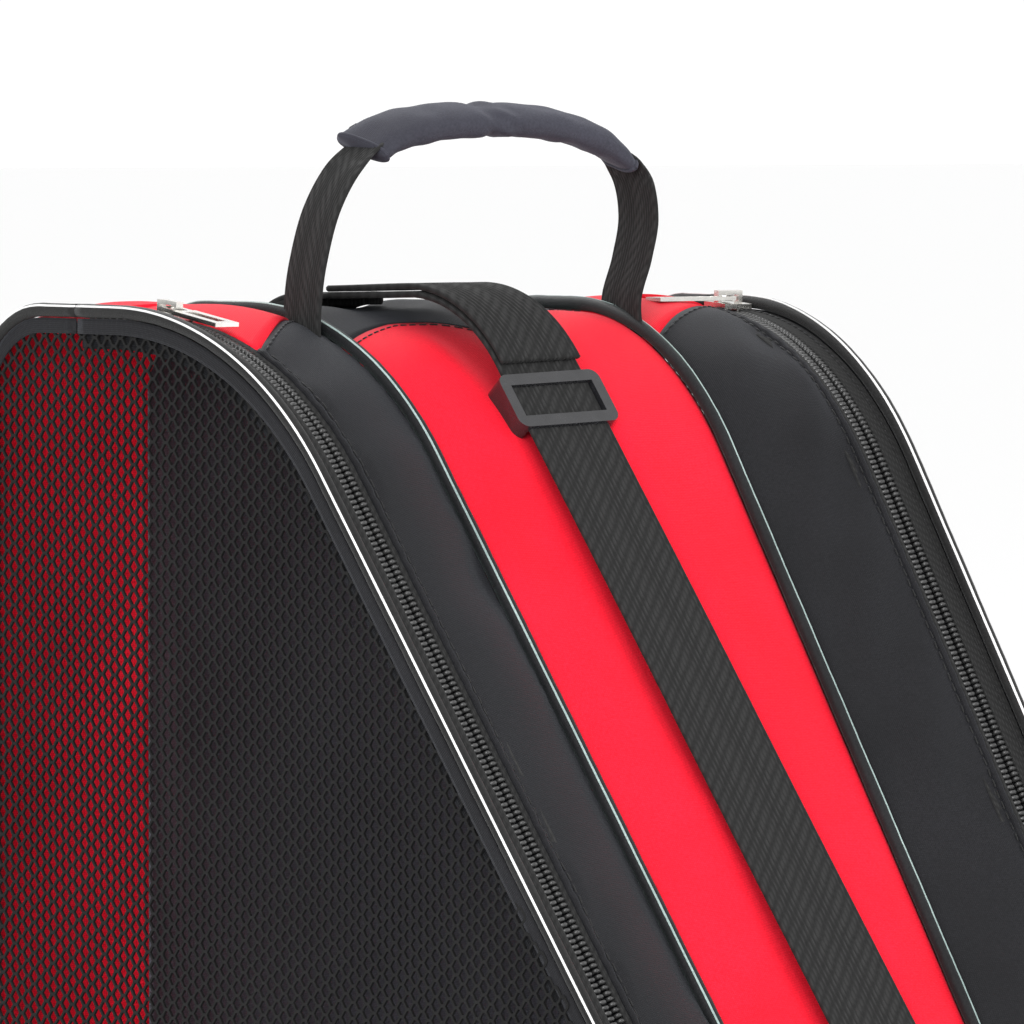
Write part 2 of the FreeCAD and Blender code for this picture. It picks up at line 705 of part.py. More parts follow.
def skewed(shape):
    """Return a strap piece sheared across the bag, from its left at the back to its right."""
    shear = FreeCAD.Matrix(1, -STRAP_SKEW, 0, STRAP_SKEW * STRAP_CROSSING_Y)
    return shape.transformGeometry(shear)


def on_slope(shape, distance):
    """Return a shape moved from the origin to a place on the strap, +Z outwards, +Y up it."""
    v, z = slope_start()
    start = MIDDLE.point((v, z))
    rise = math.cos(SLOPE_ANGLE) * (STRAP_LIFT + STRAP_THICKNESS / 2)
    start.x = STRAP_SKEW * (STRAP_CROSSING_Y - start.y + rise)
    turn = math.atan(STRAP_SKEW * math.sin(SLOPE_ANGLE))
    straight = Vector(0, math.sin(SLOPE_ANGLE), math.cos(SLOPE_ANGLE))
    up = straight * math.cos(turn) - Vector(math.sin(turn), 0, 0)
    across = straight * math.sin(turn) + Vector(math.cos(turn), 0, 0)
    print("strap direction", up * -1)
    return placed(shape, start - up * distance, across, up)


def shoulder_strap():
    """One band, slanting over the ridge and down the slope, doubled above the tri-glide."""
    half = STRAP_WIDTH / 2
    low, high = -STRAP_LIFT, -STRAP_LIFT - STRAP_THICKNESS
    start, end = ("top", STRAP_BACK_V), ("slope", STRAP_FRONT_Z)
    add("shoulder_strap", skewed(strip(STRAP_PATH, MIDDLE, high, low, -half, half, start, end)))
    start, end = ("top", DOUBLE_BACK_V), ("ridge", None)
    second = (high - SEAM_GAP - STRAP_THICKNESS, high - SEAM_GAP)
    add("strap_doubling", skewed(strip(STRAP_PATH, MIDDLE, *second, -half, half, start, end)))
    patch = (STRAP_PATH, MIDDLE, low + SEAM_GAP, WALL_INSET - SEAM_GAP, -half, half)
    top = (("top", STRAP_BACK_V), ("top", STRAP_BACK_V + PATCH_LENGTH))
    add("strap_anchor_top", skewed(strip(*patch, *top)))
    foot = (("slope", STRAP_FRONT_Z + PATCH_LENGTH), ("slope", STRAP_FRONT_Z))
    add("strap_anchor_toe", skewed(strip(*patch, *foot)))


def tri_glide():
    """A frame over the strap with its centre bar under it, drawn flat and laid on the slope."""
    x, y = GLIDE_WIDTH / 2, GLIDE_LENGTH / 2
    window = STRAP_WIDTH / 2 + BODY_GAP
    low = -WALL_INSET + BODY_GAP
    under = STRAP_LIFT - BODY_GAP
    over = STRAP_LIFT + STRAP_THICKNESS + BODY_GAP
    top = over + GLIDE_BAR_THICKNESS
    frame = box(-x, x, -y, y, low, top)
    frame = frame.makeFillet(GLIDE_ROUND, [e for e in frame.Edges if upright(e)])
    frame = frame.cut(box(-window, window, -2 * y, 2 * y, under, over))
    opening = y - GLIDE_BAR
    bar = GLIDE_BAR / 2
    frame = frame.cut(box(-window, window, -opening, opening, over - SEAM_GAP, top + SEAM_GAP))
    frame = frame.cut(box(-window, window, bar, 2 * y, low - SEAM_GAP, under + SEAM_GAP))
    frame = frame.cut(box(-window, window, -2 * y, -bar, low - SEAM_GAP, under + SEAM_GAP))
    add("tri_glide", on_slope(frame, GLIDE_PARK + y))


def upright(edge):
    ends = [v.Point for v in edge.Vertexes]
    return abs(ends[0].z - ends[-1].z) > SEAM_GAP


# Back flap ------------------------------------------------------------------


def arch(half_width, top, thickness, y1, y2, foot):
    """Return a square arch: two sides and a head, open at the foot."""
    outer = box(-half_width - thickness, half_width + thickness, y1, y2, foot, top + thickness)
    return outer.cut(box(-half_width, half_width, y1, y2, 0, top))


def back_flap():
    """The centre compartment's own way in: a cloth flap with a zip round three sides."""
    y2 = Y_BACK - WALL_INSET
    y1 = y2 - WALL
    half = CENTRE_HALF_WIDTH - SEAM_GAP - FLAP_FRAME - FLAP_CHAIN
    rim = arch(half + FLAP_CHAIN, FLAP_TOP + FLAP_CHAIN, FLAP_FRAME - SEAM_GAP, y1, y2, FLAP_BOTTOM)
    sill_half = half + FLAP_CHAIN + FLAP_FRAME - SEAM_GAP
    sill = box(-sill_half, sill_half, y1, y2, BASE_THICKNESS + SEAM_GAP, FLAP_BOTTOM)
    slit = box(-half, half, y1 - WALL, y2 + WALL, FLAP_BOTTOM - BODY_GAP, FLAP_BOTTOM + BODY_GAP)
    rim = rim.fuse(sill).removeSplitter().cut(slit)
    add("centre_back_frame", rim.common(inner_back_space()))
    add("centre_flap", box(-half, half, y1, y2, FLAP_BOTTOM + BODY_GAP, FLAP_TOP))
    row = (y1 + SEAM_GAP, y2 - SEAM_GAP, FLAP_BOTTOM + BODY_GAP)
    inner_row = arch(half + SEAM_GAP, FLAP_TOP + SEAM_GAP, FLAP_TEETH, *row)
    outer_row = arch(
        half + FLAP_CHAIN - FLAP_TEETH - SEAM_GAP,
        FLAP_TOP + FLAP_CHAIN - FLAP_TEETH - SEAM_GAP,
        FLAP_TEETH,
        *row,
    )
    add("flap_teeth", inner_row)
    add("frame_teeth", outer_row)
    flap_slider(half + FLAP_CHAIN / 2, y2)


def inner_back_space():
    """Return the region between the two inner planes near the back wall."""
    near = MirrorPlane(INNER)
    depth = 2 * WALL + 2 * WALL_INSET
    corners = [p.point((v, 0), -SEAM_GAP) for p, v in ((INNER, 0), (INNER, depth), (near, depth), (near, 0))]
    face = Part.Face(Part.makePolygon(corners + corners[:1]))
    return face.extrude(Z_AXIS * HEIGHT)


def flap_slider(x, y):
    """A slider and hanging tab that ride on the flap's right-hand edge, outside its teeth."""
    z1, z2 = FLAP_SLIDER_Z, FLAP_SLIDER_Z + FLAP_SLIDER_HEIGHT
    y1 = y + BODY_GAP
    y2 = y1 + SLIDER_PLATE
    plate = box(x - SLIDER_HALF_WIDTH, x + SLIDER_HALF_WIDTH, y1, y2, z1, z2)
    middle = (z1 + z2) / 2
    reach = BRIDGE_HALF_LENGTH
    outer = (x - BRIDGE_HALF_WIDTH, x + BRIDGE_HALF_WIDTH)
    roof = y2 + BRIDGE_OPENING
    bow = box(*outer, y2 - SEAM_GAP, roof + BRIDGE_BAR, middle - reach, middle + reach)
    gap = reach - BRIDGE_BAR
    bow = bow.cut(box(*outer, y2, roof, middle - gap, middle + gap))
    add("flap_slider", plate.fuse(bow).removeSplitter())
    pivot = Vector(x, y2 + BRIDGE_OPENING / 2, middle)
    add("flap_pull_tab", placed(tab(), pivot, Z_AXIS * -1, Vector(1, 0, 0)))
    print("flap tab pivot", pivot)


# Assembly -------------------------------------------------------------------


def build():
    base()
    dividers()
    gussets()
    centre_walls()
    pipings()
    mesh_panels()
    zip_chain()
    sliders()
    handle()
    shoulder_strap()
    tri_glide()
    back_flap()


build()
os.makedirs("parts", exist_ok=True)
for name, shape in nodes.items():
    print(name, shape.isValid(), len(shape.Solids), round(shape.Volume))
    shape.exportStep("parts/" + name + ".step")
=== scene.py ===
"""Skate bag: its cloth, net, piping, zips, handle and strap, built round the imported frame.

All sizes are in metres. +Z is up, -Y is the bag's toe and +X its right-hand side.
"""

import logging
import math
from collections.abc import Callable
from dataclasses import dataclass, field
from enum import Enum

import bmesh
import bpy
import numpy as np
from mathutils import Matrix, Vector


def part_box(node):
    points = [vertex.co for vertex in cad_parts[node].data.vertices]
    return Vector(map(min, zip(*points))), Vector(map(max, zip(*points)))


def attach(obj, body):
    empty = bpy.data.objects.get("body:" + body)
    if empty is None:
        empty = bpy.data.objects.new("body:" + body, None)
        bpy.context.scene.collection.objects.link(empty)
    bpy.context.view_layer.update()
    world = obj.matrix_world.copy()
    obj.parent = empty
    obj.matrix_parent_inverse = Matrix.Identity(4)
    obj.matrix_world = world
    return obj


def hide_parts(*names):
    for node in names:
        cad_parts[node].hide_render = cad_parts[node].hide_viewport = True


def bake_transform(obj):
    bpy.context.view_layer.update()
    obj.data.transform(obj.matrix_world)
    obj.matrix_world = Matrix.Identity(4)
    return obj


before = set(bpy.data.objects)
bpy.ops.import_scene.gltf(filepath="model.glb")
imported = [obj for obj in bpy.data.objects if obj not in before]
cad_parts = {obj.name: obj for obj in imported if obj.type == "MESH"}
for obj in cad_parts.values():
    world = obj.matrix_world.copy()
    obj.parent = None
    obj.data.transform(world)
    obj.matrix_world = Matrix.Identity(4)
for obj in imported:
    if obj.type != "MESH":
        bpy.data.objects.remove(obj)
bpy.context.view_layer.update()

LOG = logging.getLogger("skate_bag")
MM = 0.001
UV_LAYER = "Cloth"
FLOOR, TOP = 5 * MM, 390 * MM  # heights of the wedge's foot and top
WALL_INSET = 1.2 * MM  # how deep a wall's cloth lies under the profile
CLOTH = 1.4 * MM  # thickness of a cloth panel
FINE = np.linspace(0, 1, 25)  # places across a side wall
SEAMS = {"left": (66 * MM, 103 * MM), "right": (90 * MM, 68 * MM)}
WAVES_ACROSS = 3.1831  # bands in a metre of a wave texture of scale 1
WAVES_DIAGONAL = 6.2  # sets how close the slanting picks of a band lie

Span = tuple[float, float]
Colour = tuple[float, float, float]
Cell = tuple[int, int]
Frames = tuple[np.ndarray, np.ndarray, np.ndarray]
Ends = Callable[[float], tuple[Span, Span]]
Relief = Callable[[np.ndarray, float], np.ndarray]


# Shape of the bag ------------------------------------------------------------


class Hand(Enum):
    """Which side of the bag a piece is on."""

    LEFT = -1
    RIGHT = 1

    @property
    def label(self) -> str:
        """Return the side's name as the frame spells it."""
        return self.name.lower()


class Run(Enum):
    """The straight runs of a wedge outline, in the order that they follow each other."""

    BACK = 1
    TOP = 3
    SLOPE = 5
    FRONT = 7
    BOTTOM = 9


@dataclass
class Wedge:
    """A wedge outline with rounded corners, drawn in (v, z) with v running forward.

    Places on it are lengths s along the outline: up the back, over the top, down the
    slope and the toe, and back along the bottom.
    """

    top: float
    base: float
    toe: float
    floor: float
    radii: tuple[float, float, float, float, float]
    height: float = TOP
    parts: list[dict] = field(default_factory=list)
    length: float = 0.0

    def __post_init__(self) -> None:
        """Lay out the five arcs and the five straight runs between them."""
        corners = [(0, self.floor), (0, self.height), (self.top, self.height)]
        corners = np.array(corners + [(self.base, self.toe), (self.base, self.floor)], float)
        arcs = []
        for i, radius in enumerate(self.radii):
            into = corners[i] - corners[i - 1]
            away = corners[(i + 1) % 5] - corners[i]
            into, away = into / np.linalg.norm(into), away / np.linalg.norm(away)
            turn = math.acos(float(into @ away))
            reach = radius * math.tan(turn / 2)
            outward = np.array((-into[1], into[0]))
            start = corners[i] - into * reach
            arcs.append(
                {"radius": radius, "turn": turn, "centre": start - outward * radius,
                 "outward": outward, "start": start, "end": corners[i] + away * reach}
            )
        for i, arc in enumerate(arcs):
            follower = arcs[(i + 1) % 5]
            self.add_part({**arc, "length": arc["radius"] * arc["turn"]})
            way = follower["start"] - arc["end"]
            run = float(np.linalg.norm(way))
            line = {"radius": 0.0, "start": arc["end"], "way": way / run, "length": run}
            self.add_part({**line, "outward": np.array((-way[1], way[0])) / run})

    def add_part(self, part: dict) -> None:
        """Put one arc or run at the end of the outline."""
        part["at"] = self.length
        self.length += part["length"]
        self.parts.append(part)

    def along(self, run: Run, value: float) -> float:
        """Return s where a straight run reaches a v (top, bottom) or a z (the others)."""
        part = self.parts[run.value]
        axis = 0 if run in (Run.TOP, Run.BOTTOM) else 1
        return part["at"] + float((value - part["start"][axis]) / part["way"][axis])

    def round_ridge(self, v: float) -> float:
        """Return s where the ridge's arc is v forward of the back wall."""
        arc = self.parts[4]
        return arc["at"] + arc["radius"] * math.asin((v - arc["centre"][0]) / arc["radius"])

    def spots(self, s: np.ndarray) -> tuple[np.ndarray, np.ndarray]:
        """Return the (v, z) places and their outward directions for lengths s."""
        s = np.mod(np.asarray(s, float), self.length)
        places, outward = np.zeros(s.shape + (2,)), np.zeros(s.shape + (2,))
        for part in self.parts:
            here = (s >= part["at"]) & (s <= part["at"] + part["length"] + 1e-12)
            into = (s[here] - part["at"])[..., None]
            if part["radius"]:
                turn = into / part["radius"]
                o = part["outward"]
                across = np.array((o[1], -o[0]))
                outward[here] = np.cos(turn) * o + np.sin(turn) * across
                places[here] = part["centre"] + outward[here] * part["radius"]
            else:
                outward[here] = part["outward"]
                places[here] = part["start"] + part["way"] * into
        return places, outward

    def knots(self, span: Span) -> list[float]:
        """Return the ends of a span and every change of part between them."""
        marks = [p["at"] + lap * self.length for lap in (0, 1) for p in self.parts]
        return [span[0]] + [m for m in marks if span[0] < m < span[1]] + [span[1]]


@dataclass(frozen=True)
class Upright:
    """An upright plane that starts at the back wall and leans towards the bag's centre."""

    half_width: float
    taper: float
    hand: Hand
    y_back: float = 193.7 * MM

    def place(self, spots: np.ndarray, n: np.ndarray | float) -> np.ndarray:
        """Return points for (v, z) spots, n outwards from the plane."""
        lean = math.atan(self.taper)
        v, z = spots[..., 0], spots[..., 1]
        x = self.half_width - math.sin(lean) * v + math.cos(lean) * n
        y = self.y_back - math.cos(lean) * v - math.sin(lean) * n
        return np.stack((self.hand.value * x, y, z + 0 * x), -1)


@dataclass(frozen=True)
class Rail:
    """A wedge outline standing in an upright plane."""

    wedge: Wedge
    plane: Upright

    def line(self, s: np.ndarray, n: np.ndarray | float = 0.0, lift: np.ndarray | float = 0.0) -> np.ndarray:
        """Return points at lengths s, n out of the plane and lifted off the outline."""
        places, outward = self.wedge.spots(s)
        return self.plane.place(places + outward * np.asarray(lift)[..., None], n)

    def normals(self, s: np.ndarray) -> np.ndarray:
        """Return the directions in which lift moves a point."""
        return unit_rows(self.line(s, 0.0, MM) - self.line(s))


class BagShape:
    """The outlines and planes that every cloth piece is laid on."""

    def __init__(self) -> None:
        """Set the outlines out from the bag's driving sizes."""
        recess, rate = 13 * MM, (390 - 45) / (390 - 114)
        lean = math.atan(1 / rate)
        top, base = 114 * MM - recess / math.cos(lean), 377 * MM
        toe = TOP - (base - top) * rate
        self.side = Wedge(114 * MM, TOP, 45 * MM, FLOOR, tuple(r * MM for r in (8, 28, 110, 40, 10)))
        radii = tuple(r * MM for r in (8, 28, 100, 40, 10))
        self.centre = Wedge(top, base, toe, 3.3 * MM, radii)
        self.strap = Wedge(top, base, toe, 3.3 * MM, radii[:2] + (45 * MM,) + radii[3:])
        self.hinge_v = 44 * MM

    def outer(self, hand: Hand) -> Rail:
        """Return the side profile on one side of the bag."""
        return Rail(self.side, Upright(113 * MM, 0.09, hand))

    def inner(self, hand: Hand) -> Rail:
        """Return the centre compartment's profile on one side."""
        return Rail(self.centre, Upright(58 * MM, 0.07, hand))

    def middle(self) -> Rail:
        """Return the strap's path in the bag's centre plane."""
        return Rail(self.strap, Upright(0.0, 0.0, Hand.RIGHT))

    def door_span(self, wedge: Wedge, v: float) -> Span:
        """Return the span from the top at v, over the slope and toe, to the bottom at v."""
        return wedge.along(Run.TOP, v), wedge.along(Run.BOTTOM, v)

    def rear_span(self, wedge: Wedge, v: float) -> Span:
        """Return the span from the bottom at v, up the back, to the top at v."""
        return wedge.along(Run.BOTTOM, v), wedge.length + wedge.along(Run.TOP, v)


# Mesh building ---------------------------------------------------------------


def unit_rows(vectors: np.ndarray) -> np.ndarray:
    """Return vectors scaled to unit length."""
    return vectors / np.maximum(np.linalg.norm(vectors, axis=-1, keepdims=True), 1e-12)


def steps(wedge: Wedge, span: Span, step: float) -> list[int]:
    """Return how many divisions, no longer than step, each part of a span needs."""
    marks = wedge.knots(span)
    return [max(2, math.ceil((end - start) / step)) for start, end in zip(marks, marks[1:])]


def stations(wedge: Wedge, span: Span, counts: list[int]) -> np.ndarray:
    """Return lengths along a span, with the given number of divisions in each part.

    Two wedges given the same counts have stations that match part by part.
    """
    marks = wedge.knots(span)
    pieces = [np.array(marks[:1])]
    for start, end, count in zip(marks, marks[1:], counts):
        pieces.append(np.linspace(start, end, count + 1)[1:])
    return np.concatenate(pieces)


def spread(wedge: Wedge, span: Span, step: float) -> np.ndarray:
    """Return lengths along a span, no further apart than step."""
    return stations(wedge, span, steps(wedge, span, step))


def new_object(
    name: str, points: np.ndarray, faces: list | np.ndarray, uv: np.ndarray | None = None, smooth: bool = True
) -> bpy.types.Object:
    """Return a mesh object with outward normals.

    Args:
        name: the piece's name.
        points: its vertices, in metres.
        faces: vertex numbers of each face.
        uv: cloth coordinates of each vertex, in metres.
        smooth: whether its faces are shaded smooth.
    """
    mesh = bpy.data.meshes.new(name)
    rows = faces.tolist() if isinstance(faces, np.ndarray) else faces
    mesh.from_pydata(np.asarray(points).reshape(-1, 3).tolist(), [], rows)
    mesh.update()
    shape = bmesh.new()
    shape.from_mesh(mesh)
    bmesh.ops.recalc_face_normals(shape, faces=shape.faces)
    shape.to_mesh(mesh)
    shape.free()
    if uv is not None:
        layer = mesh.uv_layers.new(name=UV_LAYER)
        corners = np.zeros(len(mesh.loops), np.int32)
        mesh.loops.foreach_get("vertex_index", corners)
        layer.data.foreach_set("uv", np.asarray(uv, float).reshape(-1, 2)[corners].ravel())
    mesh.polygons.foreach_set("use_smooth", np.full(len(mesh.polygons), smooth))
    item = bpy.data.objects.new(name, mesh)
    bpy.context.scene.collection.objects.link(item)
    return item


def grid_faces(rows: int, columns: int, closed: bool = False) -> np.ndarray:
    """Return the quads of a grid of vertices, joined round its columns if it is closed."""
    i, j = np.meshgrid(np.arange(rows - 1), np.arange(columns if closed else columns - 1), indexing="ij")
    k = (j + 1) % columns
    quad = (i * columns + j, i * columns + k, (i + 1) * columns + k, (i + 1) * columns + j)
    return np.stack(quad, -1).reshape(-1, 4)


def rim_faces(rows: int, columns: int, offset: int) -> np.ndarray:
    """Return the quads that join the rims of two grids whose vertices lie offset apart."""
    rim = [(0, j) for j in range(columns)] + [(i, columns - 1) for i in range(1, rows)]
    rim += [(rows - 1, j) for j in range(columns - 2, -1, -1)] + [(i, 0) for i in range(rows - 2, 0, -1)]
    numbers = np.array([i * columns + j for i, j in rim])
    after = np.roll(numbers, -1)
    return np.stack((numbers, after, after + offset, numbers + offset), -1)


def shell(name: str, face: np.ndarray, back: np.ndarray, uv: np.ndarray | None = None) -> bpy.types.Object:
    """Return a closed sheet between two grids of points.

    Args:
        name: the piece's name.
        face, back: grids of points of the same size.
        uv: cloth coordinates of the face's points; the lengths of its edges if left out.
    """
    rows, columns = face.shape[:2]
    if uv is None:
        uv = flat_uv(face)
    count = rows * columns
    quads = grid_faces(rows, columns)
    faces = np.concatenate((quads, quads[:, ::-1] + count, rim_faces(rows, columns, count)))
    points = np.concatenate((face.reshape(-1, 3), back.reshape(-1, 3)))
    return new_object(name, points, faces, np.concatenate((uv.reshape(-1, 2),) * 2))


def flat_uv(face: np.ndarray) -> np.ndarray:
    """Return cloth coordinates for a grid: metres across it and metres along it."""
    across = np.linalg.norm(np.diff(face, axis=1), axis=-1)
    across = np.concatenate((np.zeros((len(face), 1)), np.cumsum(across, axis=1)), axis=1)
    along = np.linalg.norm(np.diff(face, axis=0), axis=-1).mean(1)
    along = np.concatenate(([0], np.cumsum(along)))[:, None] + 0 * across
    return np.stack((across - across[:, -1:] / 2, along), -1)


def grid_normals(face: np.ndarray) -> np.ndarray:
    """Return unit normals of a grid of points."""
    return unit_rows(np.cross(np.gradient(face, axis=0), np.gradient(face, axis=1)))


def thick(name: str, face: np.ndarray, outward: np.ndarray, thickness: float) -> bpy.types.Object:
    """Return cloth of one thickness, behind a grid of points that is its outer face."""
    normals = grid_normals(face)
    normals *= np.sign((normals * outward).sum(-1, keepdims=True).mean()) * thickness
    return shell(name, face, face - normals)


def run_lengths(path: np.ndarray) -> np.ndarray:
    """Return how far along a path each of its points is."""
    return np.concatenate(([0], np.cumsum(np.linalg.norm(np.diff(path, axis=0), axis=1))))


def read_rows(at: np.ndarray, run: np.ndarray, rows: np.ndarray) -> np.ndarray:
    """Return rows of three values read at some lengths, given the lengths that they belong to."""
    return np.stack([np.interp(at, run, rows[:, k]) for k in range(3)], -1)


def path_frames(path: np.ndarray, hint: np.ndarray) -> Frames:
    """Return directions along, up and across a path; up is kept near the hint."""
    along = unit_rows(np.gradient(path, axis=0))
    up = unit_rows(hint - along * (hint * along).sum(-1, keepdims=True))
    return along, up, np.cross(along, up)


def tube(
    name: str, path: np.ndarray, up_hint: np.ndarray, radius: np.ndarray | float, sides: int = 12
) -> bpy.types.Object:
    """Return a round cord along a path, with its ends closed."""
    _, up, across = path_frames(path, up_hint)
    turn = np.linspace(0, 2 * math.pi, sides, endpoint=False)
    size = np.broadcast_to(np.asarray(radius, float), (len(path),))[:, None, None]
    ring = np.cos(turn)[None, :, None] * across[:, None] + np.sin(turn)[None, :, None] * up[:, None]
    points = path[:, None] + ring * size
    length = run_lengths(path)
    uv = np.stack(np.broadcast_arrays(turn[None] * size[..., 0], length[:, None]), -1)
    faces = grid_faces(len(path), sides, closed=True).tolist()
    last = (len(path) - 1) * sides
    faces += [list(range(sides)), list(range(last, last + sides))]
    return new_object(name, points, faces, uv)


def short_tubes(name: str, rings: np.ndarray) -> bpy.types.Object:
    """Return many short tubes as one piece, with their ends closed.

    Args:
        name: the piece's name.
        rings: the corners' places, by tube, by ring along it and by corner round it.
    """
    count, along, sides = rings.shape[:3]
    starts = np.arange(count)[:, None, None] * along * sides
    faces = (starts + grid_faces(along, sides, closed=True)).reshape(-1, 4).tolist()
    for start in starts.ravel().tolist():
        for end in (start, start + (along - 1) * sides):
            faces.append(list(range(end, end + sides)))
    return new_object(name, rings, faces)


def smoothstep(x: np.ndarray) -> np.ndarray:
    """Return a smooth ramp from 0 to 1."""
    x = np.clip(x, 0, 1)
    return x * x * (3 - 2 * x)


@dataclass(frozen=True)
class Wrinkles:
    """Soft creases of a given height, made of a few seeded waves."""

    height: float
    seed: int
    length: float = 45 * MM
    slant: float = 0.6
    waves: int = 6

    def relief(self, along: np.ndarray, across: np.ndarray) -> np.ndarray:
        """Return how far the cloth stands off at places along and across it."""
        draw = np.random.default_rng(self.seed)
        total = np.zeros(np.broadcast(along, across).shape)
        for _ in range(self.waves):
            size = self.length * draw.uniform(0.5, 1.6)
            angle = draw.normal(self.slant, 0.5)
            way = along * math.cos(angle) + across * math.sin(angle)
            drift = 0.35 * np.sin(across / size * 2.2 + draw.uniform(0, 6.28))
            total += np.sin(2 * math.pi * way / size + drift + draw.uniform(0, 6.28)) / self.waves
        patch = 0.5 + 0.5 * np.sin(along / self.length * 1.7 + self.seed) * np.cos(across / self.length * 2.9)
        return self.height * total * patch * 1.8


@dataclass(frozen=True)
class Sewing:
    """A row of thread stitches lying on cloth."""

    length: float = 2.6 * MM
    gap: float = 0.9 * MM
    radius: float = 0.28 * MM

    def sew(self, name: str, rows: list[tuple[np.ndarray, np.ndarray]], body: str) -> bpy.types.Object:
        """Return every stitch of some rows as one piece.

        Args:
            name: the piece's name.
            rows: a path and its outward directions for each row.
            body: the body that the stitches ride on.
        """
        tubes = []
        turn = np.linspace(0, 2 * math.pi, 6, endpoint=False)[:, None, None]
        for path, outward in rows:
            run = run_lengths(path)
            number = max(1, int(run[-1] / (self.length + self.gap)))
            middles = (np.arange(number) + 0.5) * run[-1] / number
            centre, ahead, behind = (
                read_rows(middles + shift, run, path) for shift in (0, self.length / 2, -self.length / 2)
            )
            up, along = unit_rows(read_rows(middles, run, outward)), unit_rows(ahead - behind)
            ring = np.cos(turn) * np.cross(along, up) + 0.8 * np.sin(turn) * up
            stitch = [
                centre + along * station * self.length + ring * size * self.radius
                for station, size in ((-0.5, 0.35), (-0.36, 1), (0.36, 1), (0.5, 0.35))
            ]
            tubes.append(np.stack(stitch).transpose(2, 0, 1, 3))
        item = short_tubes(name, np.concatenate(tubes))
        dress(item, Finish.THREAD, body)
        return item


# Finishes --------------------------------------------------------------------


@dataclass(frozen=True)
class ClothFinish:
    """A plain-woven cloth: its colours, thread spacing and how it catches the light."""

    base: Colour
    light: Colour
    threads: float
    bump: float
    roughness: float
    sheen: float
    sheen_tint: Colour


@dataclass(frozen=True)
class WebbingFinish:
    """A ribbed band: its colours, and the spacing of its ribs and picks."""

    base: Colour
    light: Colour
    rib: float
    pick: float
    bump: float
    sheen: float


@dataclass(frozen=True)
class HardFinish:
    """A hard surface: its colours, its roughness where fresh and worn, its grain and its coat."""

    base: Colour
    worn: Colour
    roughness: Span
    grain: float
    detail: float
    wear: float
    distortion: float
    bump: float
    depth: float
    coat: float = 0.0
    metallic: float = 0.0


def grey(value: float, tint: float = 0.0) -> Colour:
    """Return a grey, with a touch more blue if tinted."""
    return (value, value, value * (1 + tint))


def plastic(base: Colour, roughness: float, grain: float, bump: float, coat: float) -> HardFinish:
    """Return a moulded plastic, from its colour, its gloss and the size of its grain."""
    worn = tuple(c * 1.7 + 0.004 for c in base)
    rough = (roughness * 0.75, roughness * 1.35)
    return HardFinish(base, worn, rough, 1 / grain, 4.0, 160.0, 1.5, bump, grain, coat)


def blank_material(name: str) -> tuple[bpy.types.Material, bpy.types.NodeTree]:
    """Return a new material and its node tree, with no nodes in it."""
    material = bpy.data.materials.new(name)
    material.use_nodes = True
    material.node_tree.nodes.clear()
    return material, material.node_tree


def place_nodes(columns: list[list[bpy.types.Node]]) -> None:
    """Set nodes out in columns, left to right, in the order given."""
    for column, group in enumerate(columns):
        for row, node in enumerate(group):
            node.location = (-1400 + column * 230, 300 - row * 240)


def framed(tree: bpy.types.NodeTree, label: str, members: list[bpy.types.Node]) -> None:
    """Put nodes in a labelled frame."""
    holder = tree.nodes.new("NodeFrame")
    holder.label = label
    for node in members:
        node.parent = holder


